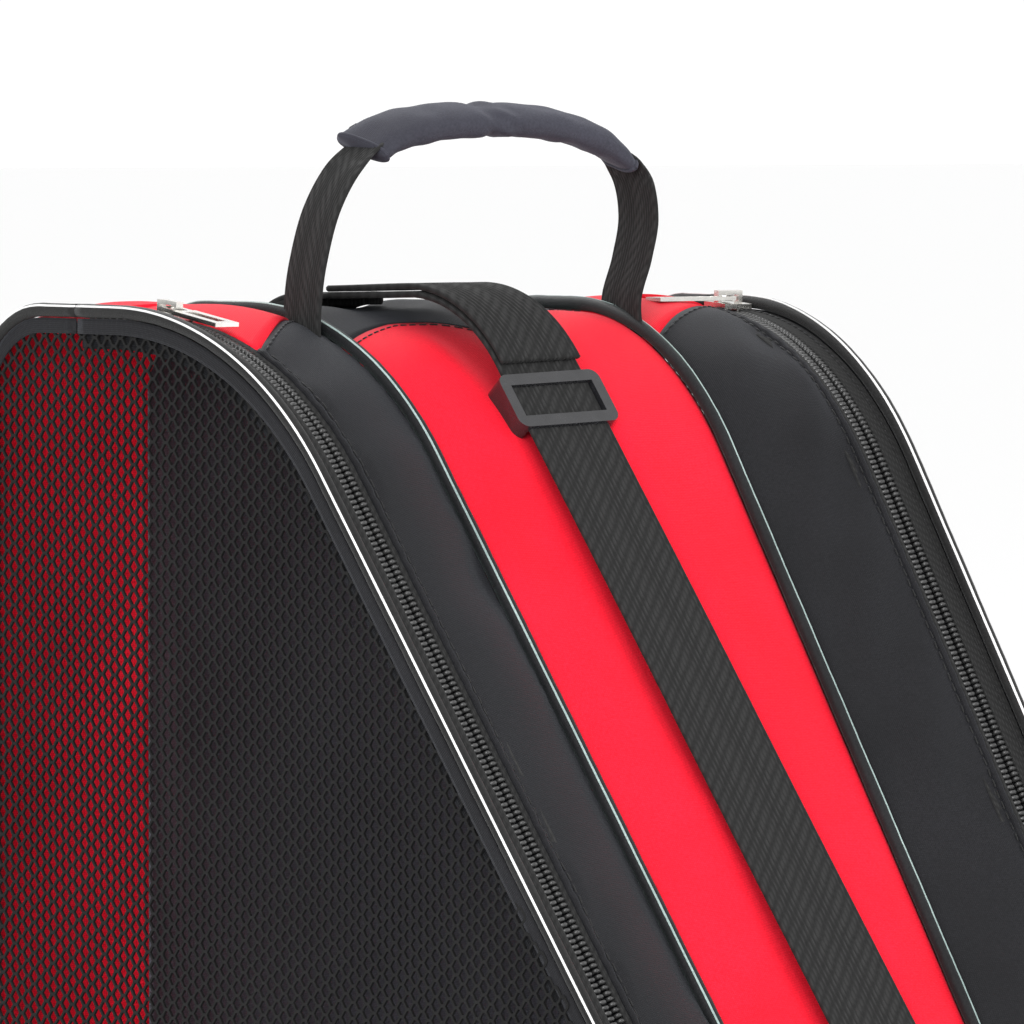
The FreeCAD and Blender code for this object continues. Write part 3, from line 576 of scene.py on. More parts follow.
def woven_cloth(name: str, finish: ClothFinish) -> bpy.types.Material:
    """Return a plain-woven cloth with threads both ways, soft mottling and a sheen."""
    material, tree = blank_material(name)
    nodes, links = tree.nodes, tree.links

    flat = nodes.new("ShaderNodeUVMap")
    flat.label, flat.uv_map = "Cloth lengths", UV_LAYER
    spot = nodes.new("ShaderNodeTexCoord")
    spot.label = "Place on the bag"

    warp = nodes.new("ShaderNodeTexWave")
    warp.label, warp.bands_direction = "Warp threads", "X"
    weft = nodes.new("ShaderNodeTexWave")
    weft.label, weft.bands_direction = "Weft threads", "Y"
    for threads in (warp, weft):
        threads.inputs["Scale"].default_value = 1 / finish.threads / WAVES_ACROSS
        threads.inputs["Distortion"].default_value = 0.6
        threads.inputs["Detail Scale"].default_value = 2.0
    crossing = nodes.new("ShaderNodeMath")
    crossing.label, crossing.operation = "Threads cross", "MULTIPLY"

    clouds = nodes.new("ShaderNodeTexNoise")
    clouds.label = "Dye and light mottling"
    clouds.inputs["Scale"].default_value = 22.0
    clouds.inputs["Detail"].default_value = 3.0
    slubs = nodes.new("ShaderNodeTexNoise")
    slubs.label = "Uneven yarn"
    slubs.inputs["Scale"].default_value = 1400.0
    mottle = nodes.new("ShaderNodeMath")
    mottle.label, mottle.operation = "Mottling and yarn", "MULTIPLY"
    shade = nodes.new("ShaderNodeMapRange")
    shade.label = "How far the colour shifts"
    shade.inputs["From Min"].default_value = 0.08
    shade.inputs["From Max"].default_value = 0.42
    tone = nodes.new("ShaderNodeMix")
    tone.label, tone.data_type = "Thread colour", "RGBA"
    tone.inputs["A"].default_value = (*finish.base, 1)
    tone.inputs["B"].default_value = (*finish.light, 1)
    valley = nodes.new("ShaderNodeMix")
    valley.label, valley.data_type, valley.blend_type = "Darker between threads", "RGBA", "MULTIPLY"
    valley.inputs["Factor"].default_value = 0.35
    height = nodes.new("ShaderNodeMath")
    height.label, height.operation = "Weave height", "ADD"
    relief = nodes.new("ShaderNodeBump")
    relief.label = "Weave relief"
    relief.inputs["Strength"].default_value = finish.bump
    relief.inputs["Distance"].default_value = finish.threads * 0.4
    rough = nodes.new("ShaderNodeMapRange")
    rough.label = "Roughness where rubbed"
    rough.inputs["To Min"].default_value = finish.roughness - 0.1
    rough.inputs["To Max"].default_value = finish.roughness + 0.12
    surface = nodes.new("ShaderNodeBsdfPrincipled")
    surface.label = "Cloth"
    surface.inputs["Sheen Weight"].default_value = finish.sheen
    surface.inputs["Sheen Roughness"].default_value = 0.45
    surface.inputs["Sheen Tint"].default_value = (*finish.sheen_tint, 1)
    surface.inputs["Specular IOR Level"].default_value = 0.1
    output = nodes.new("ShaderNodeOutputMaterial")

    links.new(flat.outputs["UV"], warp.inputs["Vector"])
    links.new(flat.outputs["UV"], weft.inputs["Vector"])
    links.new(warp.outputs["Fac"], crossing.inputs[0])
    links.new(weft.outputs["Fac"], crossing.inputs[1])
    links.new(spot.outputs["Object"], clouds.inputs["Vector"])
    links.new(spot.outputs["Object"], slubs.inputs["Vector"])
    links.new(clouds.outputs["Fac"], mottle.inputs[0])
    links.new(slubs.outputs["Fac"], mottle.inputs[1])
    links.new(mottle.outputs["Value"], shade.inputs["Value"])
    links.new(shade.outputs["Result"], tone.inputs["Factor"])
    links.new(tone.outputs["Result"], valley.inputs["A"])
    links.new(crossing.outputs["Value"], valley.inputs["B"])
    links.new(valley.outputs["Result"], surface.inputs["Base Color"])
    links.new(crossing.outputs["Value"], height.inputs[0])
    links.new(slubs.outputs["Fac"], height.inputs[1])
    links.new(height.outputs["Value"], relief.inputs["Height"])
    links.new(relief.outputs["Normal"], surface.inputs["Normal"])
    links.new(clouds.outputs["Fac"], rough.inputs["Value"])
    links.new(rough.outputs["Result"], surface.inputs["Roughness"])
    links.new(surface.outputs["BSDF"], output.inputs["Surface"])

    place_nodes([[flat, spot], [warp, weft, clouds, slubs], [crossing, mottle], [shade, height],
                 [tone, rough], [valley, relief], [surface], [output]])
    framed(tree, "Weave", [flat, warp, weft, crossing, height, relief])
    framed(tree, "Colour", [spot, clouds, slubs, mottle, shade, tone, valley])
    return material


def ribbed_band(name: str, finish: WebbingFinish) -> bpy.types.Material:
    """Return woven webbing or zip tape: ribs along it, picks across it, slanting floats."""
    material, tree = blank_material(name)
    nodes, links = tree.nodes, tree.links

    flat = nodes.new("ShaderNodeUVMap")
    flat.label, flat.uv_map = "Band lengths", UV_LAYER
    spot = nodes.new("ShaderNodeTexCoord")
    spot.label = "Place on the bag"
    ribs = nodes.new("ShaderNodeTexWave")
    ribs.label, ribs.bands_direction = "Ribs", "X"
    ribs.inputs["Scale"].default_value = 1 / finish.rib / WAVES_ACROSS
    picks = nodes.new("ShaderNodeTexWave")
    picks.label, picks.bands_direction = "Picks", "DIAGONAL"
    picks.inputs["Scale"].default_value = 1 / finish.pick / WAVES_DIAGONAL
    picks.inputs["Distortion"].default_value = 1.2
    floats = nodes.new("ShaderNodeMath")
    floats.label, floats.operation = "Floats on the ribs", "MULTIPLY"
    fluff = nodes.new("ShaderNodeTexNoise")
    fluff.label = "Fibre ends"
    fluff.inputs["Scale"].default_value = 900.0
    fluff.inputs["Detail"].default_value = 2.0
    level = nodes.new("ShaderNodeMath")
    level.label, level.operation = "Fibres over floats", "MULTIPLY_ADD"
    level.inputs[1].default_value = 0.45
    tone = nodes.new("ShaderNodeMix")
    tone.label, tone.data_type = "Yarn colour", "RGBA"
    tone.inputs["A"].default_value = (*finish.base, 1)
    tone.inputs["B"].default_value = (*finish.light, 1)
    relief = nodes.new("ShaderNodeBump")
    relief.label = "Rib relief"
    relief.inputs["Strength"].default_value = finish.bump
    relief.inputs["Distance"].default_value = finish.rib * 0.25
    surface = nodes.new("ShaderNodeBsdfPrincipled")
    surface.label = "Webbing"
    surface.inputs["Roughness"].default_value = 0.8
    surface.inputs["Specular IOR Level"].default_value = 0.1
    surface.inputs["Sheen Weight"].default_value = finish.sheen
    surface.inputs["Sheen Roughness"].default_value = 0.5
    output = nodes.new("ShaderNodeOutputMaterial")

    links.new(flat.outputs["UV"], ribs.inputs["Vector"])
    links.new(flat.outputs["UV"], picks.inputs["Vector"])
    links.new(spot.outputs["Object"], fluff.inputs["Vector"])
    links.new(ribs.outputs["Fac"], floats.inputs[0])
    links.new(picks.outputs["Fac"], floats.inputs[1])
    links.new(fluff.outputs["Fac"], level.inputs[0])
    links.new(floats.outputs["Value"], level.inputs[2])
    links.new(level.outputs["Value"], tone.inputs["Factor"])
    links.new(tone.outputs["Result"], surface.inputs["Base Color"])
    links.new(level.outputs["Value"], relief.inputs["Height"])
    links.new(relief.outputs["Normal"], surface.inputs["Normal"])
    links.new(surface.outputs["BSDF"], output.inputs["Surface"])

    place_nodes([[flat, spot], [ribs, picks, fluff], [floats], [level], [tone, relief], [surface], [output]])
    framed(tree, "Ribs and picks", [flat, ribs, picks, floats, relief])
    framed(tree, "Fibres", [spot, fluff, level, tone])
    return material


def hard_surface(name: str, finish: HardFinish) -> bpy.types.Material:
    """Return moulded plastic or plated metal, with a fine grain and slight wear."""
    material, tree = blank_material(name)
    nodes, links = tree.nodes, tree.links

    spot = nodes.new("ShaderNodeTexCoord")
    spot.label = "Place on the bag"
    grain = nodes.new("ShaderNodeTexNoise")
    grain.label = "Mould or casting grain"
    grain.inputs["Scale"].default_value = finish.grain
    grain.inputs["Detail"].default_value = finish.detail
    wear = nodes.new("ShaderNodeTexNoise")
    wear.label = "Scuffs or tarnish"
    wear.inputs["Scale"].default_value = finish.wear
    wear.inputs["Distortion"].default_value = finish.distortion
    rough = nodes.new("ShaderNodeMapRange")
    rough.label = "Roughness where worn"
    rough.inputs["To Min"].default_value = finish.roughness[0]
    rough.inputs["To Max"].default_value = finish.roughness[1]
    tone = nodes.new("ShaderNodeMix")
    tone.label, tone.data_type = "Colour", "RGBA"
    tone.inputs["A"].default_value = (*finish.base, 1)
    tone.inputs["B"].default_value = (*finish.worn, 1)
    relief = nodes.new("ShaderNodeBump")
    relief.label = "Grain relief"
    relief.inputs["Strength"].default_value = finish.bump
    relief.inputs["Distance"].default_value = finish.depth
    surface = nodes.new("ShaderNodeBsdfPrincipled")
    surface.label = "Hard surface"
    surface.inputs["Metallic"].default_value = finish.metallic
    surface.inputs["Coat Weight"].default_value = finish.coat
    surface.inputs["Coat Roughness"].default_value = 0.12
    output = nodes.new("ShaderNodeOutputMaterial")

    links.new(spot.outputs["Object"], grain.inputs["Vector"])
    links.new(spot.outputs["Object"], wear.inputs["Vector"])
    links.new(wear.outputs["Fac"], rough.inputs["Value"])
    links.new(rough.outputs["Result"], surface.inputs["Roughness"])
    links.new(wear.outputs["Fac"], tone.inputs["Factor"])
    links.new(tone.outputs["Result"], surface.inputs["Base Color"])
    links.new(grain.outputs["Fac"], relief.inputs["Height"])
    links.new(relief.outputs["Normal"], surface.inputs["Normal"])
    links.new(surface.outputs["BSDF"], output.inputs["Surface"])

    place_nodes([[spot], [grain, wear], [rough, tone, relief], [surface], [output]])
    framed(tree, "Grain", [grain, relief])
    framed(tree, "Wear", [wear, rough, tone])
    return material


class Finish(Enum):
    """The bag's finishes: the record's slot that each belongs to, and how it is made."""

    RED = ("red_cloth", woven_cloth, ClothFinish(
        (0.74, 0.004, 0.018), (0.95, 0.012, 0.036), 0.55 * MM, 0.35, 0.62, 0.1, (1.0, 0.25, 0.3)))
    BLACK = ("black_cloth", woven_cloth, ClothFinish(
        grey(0.007, 0.15), grey(0.014, 0.15), 0.55 * MM, 0.45, 0.6, 0.07, (0.55, 0.58, 0.66)))
    LINING = ("black_cloth", woven_cloth, ClothFinish(
        grey(0.010, 0.25), grey(0.026, 0.25), 0.5 * MM, 0.4, 0.42, 0.3, (0.6, 0.64, 0.8)))
    NET = ("mesh_cloth", woven_cloth, ClothFinish(
        grey(0.005), grey(0.012), 0.3 * MM, 0.2, 0.65, 0.03, (0.6, 0.6, 0.62)))
    GRIP = ("grip_cloth", woven_cloth, ClothFinish(
        grey(0.030, 0.3), grey(0.052, 0.3), 0.4 * MM, 0.4, 0.7, 0.1, (0.6, 0.62, 0.75)))
    PIPING = ("inner_piping", woven_cloth, ClothFinish(
        grey(0.008, 0.1), grey(0.017, 0.1), 0.35 * MM, 0.4, 0.4, 0.1, (0.5, 0.62, 0.6)))
    OUTER_PIPING = ("outer_piping", woven_cloth, ClothFinish(
        grey(0.009), grey(0.020), 0.35 * MM, 0.4, 0.45, 0.1, (0.6, 0.6, 0.6)))
    # The next two finishes are painted highlights: pale strips laid on the dark piping where the lamps would
    # glint on it.
    REFLECTIVE = ("outer_piping", woven_cloth, ClothFinish(
        grey(0.66), grey(0.86), 0.3 * MM, 0.2, 0.35, 0.1, (1.0, 1.0, 1.0)))
    GLINT = ("inner_piping", woven_cloth, ClothFinish(
        (0.20, 0.27, 0.26), (0.42, 0.52, 0.50), 0.35 * MM, 0.3, 0.35, 0.2, (0.8, 1.0, 0.95)))
    THREAD = ("black_cloth", woven_cloth, ClothFinish(
        grey(0.012), grey(0.026), 0.2 * MM, 0.3, 0.5, 0.1, (0.6, 0.6, 0.65)))
    WEBBING = ("webbing", ribbed_band, WebbingFinish(
        grey(0.008), grey(0.022), 1.5 * MM, 1.1 * MM, 0.5, 0.03))
    ZIP_TAPE = ("zip_tape", ribbed_band, WebbingFinish(
        grey(0.008), grey(0.020), 0.8 * MM, 0.7 * MM, 0.35, 0.03))
    TEETH = ("zip_teeth", hard_surface, plastic(grey(0.014), 0.38, 0.3 * MM, 0.1, 0.1))
    BUCKLE = ("black_plastic", hard_surface, plastic(grey(0.008, 0.15), 0.24, 0.6 * MM, 0.05, 0.35))
    BOARD = ("stiffener", hard_surface, plastic(grey(0.02), 0.6, 0.8 * MM, 0.3, 0.0))
    NICKEL = ("nickel", hard_surface, HardFinish(
        (0.80, 0.78, 0.74), (0.576, 0.5616, 0.5328), (0.132, 0.352), 700.0, 3.0, 240.0, 0.0, 0.12, 0.2 * MM,
        metallic=1.0))

    def material(self) -> bpy.types.Material:
        """Return this finish's material, made the first time that it is asked for."""
        _, make, facts = self.value
        name = f"{self.name.lower()}_finish"
        return bpy.data.materials.get(name) or make(name, facts)


def dress(
    item: bpy.types.Object, finish: Finish, body: str | None = None, replaces: tuple[str, ...] = ()
) -> bpy.types.Object:
    """Give a piece its finish, put it on its body and hide the CAD solids it stands for.

    Args:
        item: the piece.
        finish: its finish.
        body: the body that it rides on, or None to leave it unattached.
        replaces: CAD nodes that it stands for.
    """
    item.data.materials.clear()
    item.data.materials.append(finish.material())
    if body is not None:
        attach(item, body)
    if replaces:
        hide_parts(*replaces)
    LOG.info("%s: %d faces, %s", item.name, len(item.data.polygons), finish.name.lower())
    return item


def smooth_curve(points: np.ndarray, count: int) -> np.ndarray:
    """Return a smooth curve of count points through a few, a Catmull-Rom spline."""
    points = np.asarray(points, float)
    padded = np.concatenate((2 * points[:1] - points[1:2], points, 2 * points[-1:] - points[-2:-1]))
    place = np.linspace(0, len(points) - 1, count)
    i = np.minimum(place.astype(int), len(points) - 2)
    t = (place - i)[:, None]
    a, b, c, d = padded[i], padded[i + 1], padded[i + 2], padded[i + 3]
    return 0.5 * (2 * b + (c - a) * t + (2 * a - 5 * b + 4 * c - d) * t**2 + (3 * b - a - 3 * c + d) * t**3)


# Cloth body ------------------------------------------------------------------


def wall_grid(
    rails: tuple[Rail, Rail], edges: Span, ends: Ends, across: np.ndarray, step: float, relief: Relief
) -> tuple[np.ndarray, np.ndarray]:
    """Return the outer face of a cloth wall stretched between two rails.

    Args:
        rails: where the wall's two edges run.
        edges: how far out of each rail's plane the edge lies.
        ends: gives the span on each rail for a place across the wall, from 0 to 1.
        across: the places across the wall.
        step: the spacing along it.
        relief: how far the cloth stands off, from its points and the place across.

    Returns:
        The grid of points and the outward directions at them.
    """
    counts = steps(rails[1].wedge, ends(0.5)[1], step)
    columns, outward = [], []
    for w in across:
        runs = [stations(rail.wedge, span, counts) for rail, span in zip(rails, ends(w))]
        lines = [rail.line(s, n, -WALL_INSET) for rail, s, n in zip(rails, runs, edges)]
        normals = unit_rows((1 - w) * rails[0].normals(runs[0]) + w * rails[1].normals(runs[1]))
        points = (1 - w) * lines[0] + w * lines[1]
        columns.append(points + normals * relief(points, w)[:, None])
        outward.append(normals)
    return np.stack(columns, 1), np.stack(outward, 1)


@dataclass
class SideCloth:
    """The cloth between an inner piping and the zip: red behind a slanting seam, black ahead."""

    shape: BagShape
    hand: Hand
    seam_inner: float
    seam_outer: float
    fold: float = -16.4 * MM
    corner: float = -2.2 * MM
    bulge: float = 3.0 * MM
    step: float = 3.0 * MM

    def rails(self) -> tuple[Rail, Rail]:
        """Return the rails of the wall's two edges."""
        return self.shape.inner(self.hand), self.shape.outer(self.hand)

    def seam(self, w: float) -> Span:
        """Return where the colour seam lies on each rail's wedge at a place across."""
        v = self.seam_inner + (self.seam_outer - self.seam_inner) * w
        return self.shape.centre.round_ridge(v), self.shape.side.round_ridge(v)

    def top_ends(self, w: float) -> tuple[Span, Span]:
        """Return the spans of the red top, from the hinge to the seam."""
        v, seams = self.shape.hinge_v - 2.5 * MM, self.seam(w)
        starts = [wedge.along(Run.TOP, v) for wedge in (self.shape.centre, self.shape.side)]
        return (starts[0], seams[0]), (starts[1], seams[1])

    def front_ends(self, w: float) -> tuple[Span, Span]:
        """Return the spans of the black front, from the seam to its turned-under foot."""
        foot = [self.shape.centre.along(Run.BOTTOM, 351 * MM), self.shape.side.along(Run.BOTTOM, 364 * MM)]
        return (self.seam(w)[0], foot[0]), (self.seam(w)[1], foot[1])

    def rear_ends(self, w: float) -> tuple[Span, Span]:
        """Return the spans of the red back, from the bottom, up the back, to the hinge."""
        v = self.shape.hinge_v - 2.4 * MM
        return self.shape.rear_span(self.shape.centre, v), self.shape.rear_span(self.shape.side, v)

    def relief(self, height: float, wrinkles: Wrinkles) -> Relief:
        """Return the stand-off of puffed cloth that dips at both of its edges."""

        def stand_off(points: np.ndarray, w: float) -> np.ndarray:
            run = run_lengths(points)
            puff = height * np.sin(math.pi * min(max(w, 0.0), 1.0)) ** 0.75
            edge = min(1.0, 8 * w, 8 * (1 - w))
            gathers = 0.25 * MM * (1 - edge) * np.sin(run / MM * 0.9)
            return puff + wrinkles.relief(run, w * 40 * MM) * edge + gathers

        return stand_off

    def build(self) -> None:
        """Make the three panels and their seams on this side."""
        label = self.hand.label
        seed = 11 if self.hand is Hand.LEFT else 23
        spans = {
            "front": (self.front_ends, self.fold, Finish.BLACK, self.bulge, 1.5 * MM),
            "top": (self.top_ends, self.fold, Finish.RED, self.bulge + 0.6 * MM, 0.8 * MM),
            "back": (self.rear_ends, self.corner, Finish.RED, self.bulge + 0.8 * MM, 1.6 * MM),
        }
        for place, (ends, edge, finish, bulge, crease) in spans.items():
            relief = self.relief(bulge, Wrinkles(crease, seed + len(place)))
            grid, outward = wall_grid(self.rails(), (0.2 * MM, edge), ends, FINE, self.step, relief)
            item = thick(f"side_{place}_cloth_{label}", grid, outward, CLOTH)
            dress(item, finish, "bag", (f"gusset_{place}_{label}",))
            if place == "front":
                self.sew_seams(grid, outward)

    def sew_seams(self, grid: np.ndarray, outward: np.ndarray) -> None:
        """Stitch the colour seam and the fold beside the zip."""
        raise_by = 0.15 * MM
        seam = grid[1, 1:-1] + outward[1, 1:-1] * raise_by
        fold = grid[2:, -2] + outward[2:, -2] * raise_by
        rows = [(seam, outward[1, 1:-1]), (fold, outward[2:, -2])]
        Sewing().sew(f"side_stitching_{self.hand.label}", rows, "bag")
        edge = grid[:, -1] + outward[:, -1] * 0.1 * MM
        cord = tube(f"zip_fold_{self.hand.label}", edge, outward[:, -1], 1.0 * MM, 8)
        dress(cord, Finish.BLACK, "bag")


@dataclass
class CentreCloth:
    """The centre compartment: a black top, a red front and the back with its zipped flap."""

    shape: BagShape
    scallop: tuple[tuple[float, float], ...] = (
        (-0.052, 0.088), (-0.038, 0.079), (-0.022, 0.071), (-0.008, 0.071), (0.003, 0.081),
        (0.012, 0.079), (0.022, 0.066), (0.034, 0.057), (0.052, 0.053),
    )
    skew: float = 0.075
    crossing: float = -0.4 * MM
    bulge: float = 5.0 * MM
    loft: float = 3.6 * MM
    step: float = 3.0 * MM

    def seam(self, w: float) -> float:
        """Return where the scalloped colour seam crosses at a place across the panel."""
        table = np.array(self.scallop)
        x = -0.052 + 0.104 * np.clip(w, 0, 1)
        near = [np.interp(x + shift, table[:, 0], table[:, 1]) for shift in (-4 * MM, 0, 4 * MM)]
        return self.shape.centre.round_ridge(float(np.mean(near)))

    def build(self) -> None:
        """Make the top and the front and stitch the seam between them."""
        rails = (self.shape.inner(Hand.LEFT), self.shape.inner(Hand.RIGHT))
        head = self.shape.centre.along(Run.BACK, 338 * MM)
        foot = self.shape.centre.along(Run.BOTTOM, 351 * MM)
        columns, edges = np.linspace(0, 1, 45), (-0.6 * MM, -0.6 * MM)
        front, outward = wall_grid(
            rails, edges, lambda w: ((self.seam(w), foot),) * 2, columns, self.step, self.lobes
        )
        item = thick("centre_front_cloth", front, outward, CLOTH)
        dress(item, Finish.RED, "bag", ("centre_front_panel",))
        top, up = wall_grid(
            rails, edges, lambda w: ((head, self.seam(w)),) * 2, columns, self.step, self.loft_top
        )
        dress(thick("centre_top_cloth", top, up, CLOTH), Finish.BLACK, "bag", ("centre_top_panel",))
        seam = front[1, 1:-1] + outward[1, 1:-1] * 0.15 * MM
        Sewing().sew("centre_seam_stitching", [(seam, outward[1, 1:-1])], "bag")

    def lobes(self, points: np.ndarray, w: float) -> np.ndarray:
        """Return the stand-off of the red front: two long lobes with the strap between them."""
        puff = self.bulge * math.sin(math.pi * w) ** 0.6 * self.beside_strap(points, 0.78, 15 * MM)
        run = run_lengths(points)
        start = smoothstep((run + 6 * MM) / (30 * MM))
        crease = Wrinkles(0.9 * MM, 5, 60 * MM, 1.1).relief(run, w * 90 * MM)
        return puff * start + crease * min(1.0, 7 * w, 7 * (1 - w))

    def beside_strap(self, points: np.ndarray, depth: float, reach: float) -> np.ndarray:
        """Return 1 clear of the strap, and less than that by depth within reach of its middle."""
        off = points[:, 0] - self.skew * (self.crossing - points[:, 1])
        return 1 - depth * np.exp(-((off / reach) ** 4))

    def loft_top(self, points: np.ndarray, w: float) -> np.ndarray:
        """Return the stand-off of the black top, which puffs up on both sides of the strap."""
        run = run_lengths(points)
        flat = smoothstep((points[:, 2] - 360 * MM) / (20 * MM))
        crease = Wrinkles(1.5 * MM, 9, 34 * MM, 0.2).relief(run, w * 90 * MM)
        near_seam = smoothstep((run[-1] - run) / (25 * MM))
        lift = self.lobes(points, w)[0] * (1 - near_seam)
        free = self.beside_strap(points, 0.75, 17 * MM)
        return (0.6 * crease + self.loft) * free * flat * math.sin(math.pi * w) ** 0.7 * near_seam + lift


@dataclass
class Lining:
    """What shows through the net: the dividers, the board and the floor of the bag."""

    shape: BagShape
    puff: float = 5.0 * MM

    def build(self) -> None:
        """Make both dividers and the base cloth, and finish the board."""
        for hand in Hand:
            self.divider(hand)
        self.base()
        keep_node("base_board", Finish.BOARD)

    def divider(self, hand: Hand) -> None:
        """Make a divider as a soft, slightly pillowed wall of black cloth."""
        node = f"divider_{hand.label}"
        low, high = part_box(node)
        plane = self.shape.inner(hand).plane
        wedge = self.shape.centre
        rows, columns = 90, 90
        down = np.linspace(0, 1, rows)[:, None]
        z = high[2] + (low[2] - high[2]) * down
        slope = self.slope_v(z, wedge)
        v = 2.6 * MM + (slope - 2.6 * MM) * np.linspace(0, 1, columns)[None]
        spots = np.stack((v, z + 0 * v), -1)
        crease = Wrinkles(3.6 * MM, 31 if hand is Hand.LEFT else 37, 120 * MM, 0.9, 7).relief(z + 0 * v, v)
        hold = np.minimum(1, 9 * np.minimum(np.linspace(0, 1, columns), np.linspace(1, 0, columns)))[None]
        hold = hold * np.minimum(1, 9 * np.minimum(down, 1 - down))
        n = 1.4 * MM + (self.puff * 0.3 + crease) * smoothstep(hold)
        face = plane.place(spots, n)
        back = plane.place(spots, n - 1.6 * MM)
        dress(shell(f"divider_cloth_{hand.label}", face, back), Finish.LINING, "bag", (node,))

    def slope_v(self, z: np.ndarray, wedge: Wedge) -> np.ndarray:
        """Return how far forward a divider reaches at heights z, inside the front cloth."""
        s = np.linspace(wedge.parts[4]["at"], wedge.parts[9]["at"], 800)
        places, outward = wedge.spots(s)
        inside = places - outward * 5 * MM
        order = np.argsort(inside[:, 1])
        return np.interp(z, inside[order, 1], inside[order, 0])

    def base(self) -> None:
        """Make the bottom cloth, with its corners turned up a little into the walls."""
        low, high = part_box("base_panel")
        rows, columns = 70, 40
        y = np.linspace(high[1], low[1], rows)[:, None]
        v = self.shape.outer(Hand.RIGHT).plane.y_back - y
        cut = np.clip((y - low[1]) / (18 * MM), 0, 1)
        half = (91 * MM - 0.09 * v) - 18 * MM * (1 - cut)
        x = half * np.linspace(-1, 1, columns)[None]
        wave = 0.35 * MM * np.sin(x / (23 * MM)) * np.cos(y / (31 * MM))
        z = low[2] + 1.2 * MM + wave
        face = np.stack(np.broadcast_arrays(x, y, z - 0.7 * MM), -1)
        back = np.stack(np.broadcast_arrays(x, y, z + 1.0 * MM), -1)
        dress(shell("base_cloth", face, back), Finish.BLACK, "bag", ("base_panel",))


def keep_node(node: str, finish: Finish, bevel: float = 0.0) -> None:
    """Give a CAD node its finish, and round its edges a little if asked.

    Args:
        node: the CAD node's name.
        finish: its finish.
        bevel: the width of the rounding, or 0 for none.
    """
    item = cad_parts[node]
    if not item.material_slots:
        item.data.materials.append(None)
    for slot in item.material_slots:
        slot.material = finish.material()
    if bevel:
        rounding = item.modifiers.new("Rounded edges", "BEVEL")
        rounding.width, rounding.segments = bevel, 2
        rounding.limit_method, rounding.angle_limit = "ANGLE", math.radians(40)
    LOG.info("%s: kept, %s", node, finish.name.lower())


# Piping ----------------------------------------------------------------------


@dataclass
class Piping:
    """Cloth-covered cords on the edges of the bag, with pale strips of painted highlight laid along them."""

    shape: BagShape
    radius: float = 1.9 * MM
    lift: float = 0.9 * MM
    depth: float = 1.0 * MM
    step: float = 3.5 * MM

    def build(self) -> None:
        """Make all the cords and their strips of painted highlight."""
        low = 14.1 * MM
        centre = self.shape.centre
        inner_span = (centre.along(Run.BACK, low), centre.along(Run.FRONT, low))
        v = self.shape.hinge_v
        # Each side's strip of painted highlight sits at its own angle round the cord, where the glint falls
        # on that side.
        for hand, bright in ((Hand.LEFT, (30, 48)), (Hand.RIGHT, (98, 118))):
            label = hand.label
            inner, outer = self.shape.inner(hand), self.shape.outer(hand)
            self.cord(f"inner_cord_{label}", inner, inner_span, 0.0, "bag", f"inner_piping_{label}",
                      Finish.PIPING, Finish.GLINT, (58, 74))
            span = self.shape.door_span(self.shape.side, v + 0.15 * MM)
            self.cord(f"door_cord_{label}", outer, span, -self.depth, f"door_{label}", f"door_piping_{label}",
                      Finish.OUTER_PIPING, Finish.REFLECTIVE, bright)
            span = self.shape.rear_span(self.shape.side, v - 0.15 * MM)
            self.cord(f"rear_cord_{label}", outer, span, -self.depth, "bag", f"rear_piping_{label}",
                      Finish.OUTER_PIPING, Finish.REFLECTIVE, bright)
        self.crown()

    def cord(
        self, name: str, rail: Rail, span: Span, n: float, body: str, node: str,
        cover: Finish, line: Finish, turn: Span
    ) -> None:
        """Make one cord and the strip of painted highlight along it.

        Args:
            name: the cord's name.
            rail: the profile that it follows.
            span: where it starts and ends.
            n: its place out of the rail's plane.
            body: the body that it rides on.
            node: the CAD solid that it stands for.
            cover: the finish of its cover.
            line: the finish of its strip of painted highlight.
            turn: the strip's two edges, in degrees from straight outwards sideways.
        """
        s = spread(rail.wedge, span, self.step)
        path, up = rail.line(s, n, self.lift), rail.normals(s)
        uneven = 1 + 0.02 * np.sin(s / MM * 0.21) + 0.015 * np.sin(s / MM * 0.77)
        dress(tube(name, path, up, self.radius * uneven, 14), cover, body, (node,))
        # The pale strip is a painted highlight, standing in for the lamps' glint on the cord.
        angles = np.radians(np.linspace(*turn, 5))
        _, up, across = path_frames(path, up)
        across = across * np.sign(across[:, :1] * rail.plane.hand.value)
        ring = np.cos(angles)[None, :, None] * across[:, None] + np.sin(angles)[None, :, None] * up[:, None]
        size = (self.radius * uneven)[:, None, None]
        face, back = path[:, None] + ring * (size + 0.12 * MM), path[:, None] + ring * (size - 0.2 * MM)
        dress(shell(name + "_line", face, back), line, body)

    def crown(self) -> None:
        """Make the cord across the back edge of the top, in its three lengths."""
        low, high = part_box("crown_piping")
        y, z = (low[1] + high[1]) / 2, (low[2] + high[2]) / 2
        inner_x = 58 * MM - 0.07 * 13 * MM
        spans = {"left": (low[0], -inner_x - 2 * MM), "middle": (-inner_x + 2 * MM, inner_x - 2 * MM),
                 "right": (inner_x + 2 * MM, high[0])}
        for place, (start, end) in spans.items():
            x = np.linspace(start, end, 24)
            path = np.stack((x, y + 0 * x, z + 0.5 * MM * np.sin(x / (9 * MM))), -1)
            up = np.broadcast_to((0.0, 0.0, 1.0), path.shape)
            cord = tube(f"crown_cord_{place}", path, up, 1.5 * MM, 10)
            dress(cord, Finish.PIPING, "bag")
        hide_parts("crown_piping")


# Net sides and zips ----------------------------------------------------------


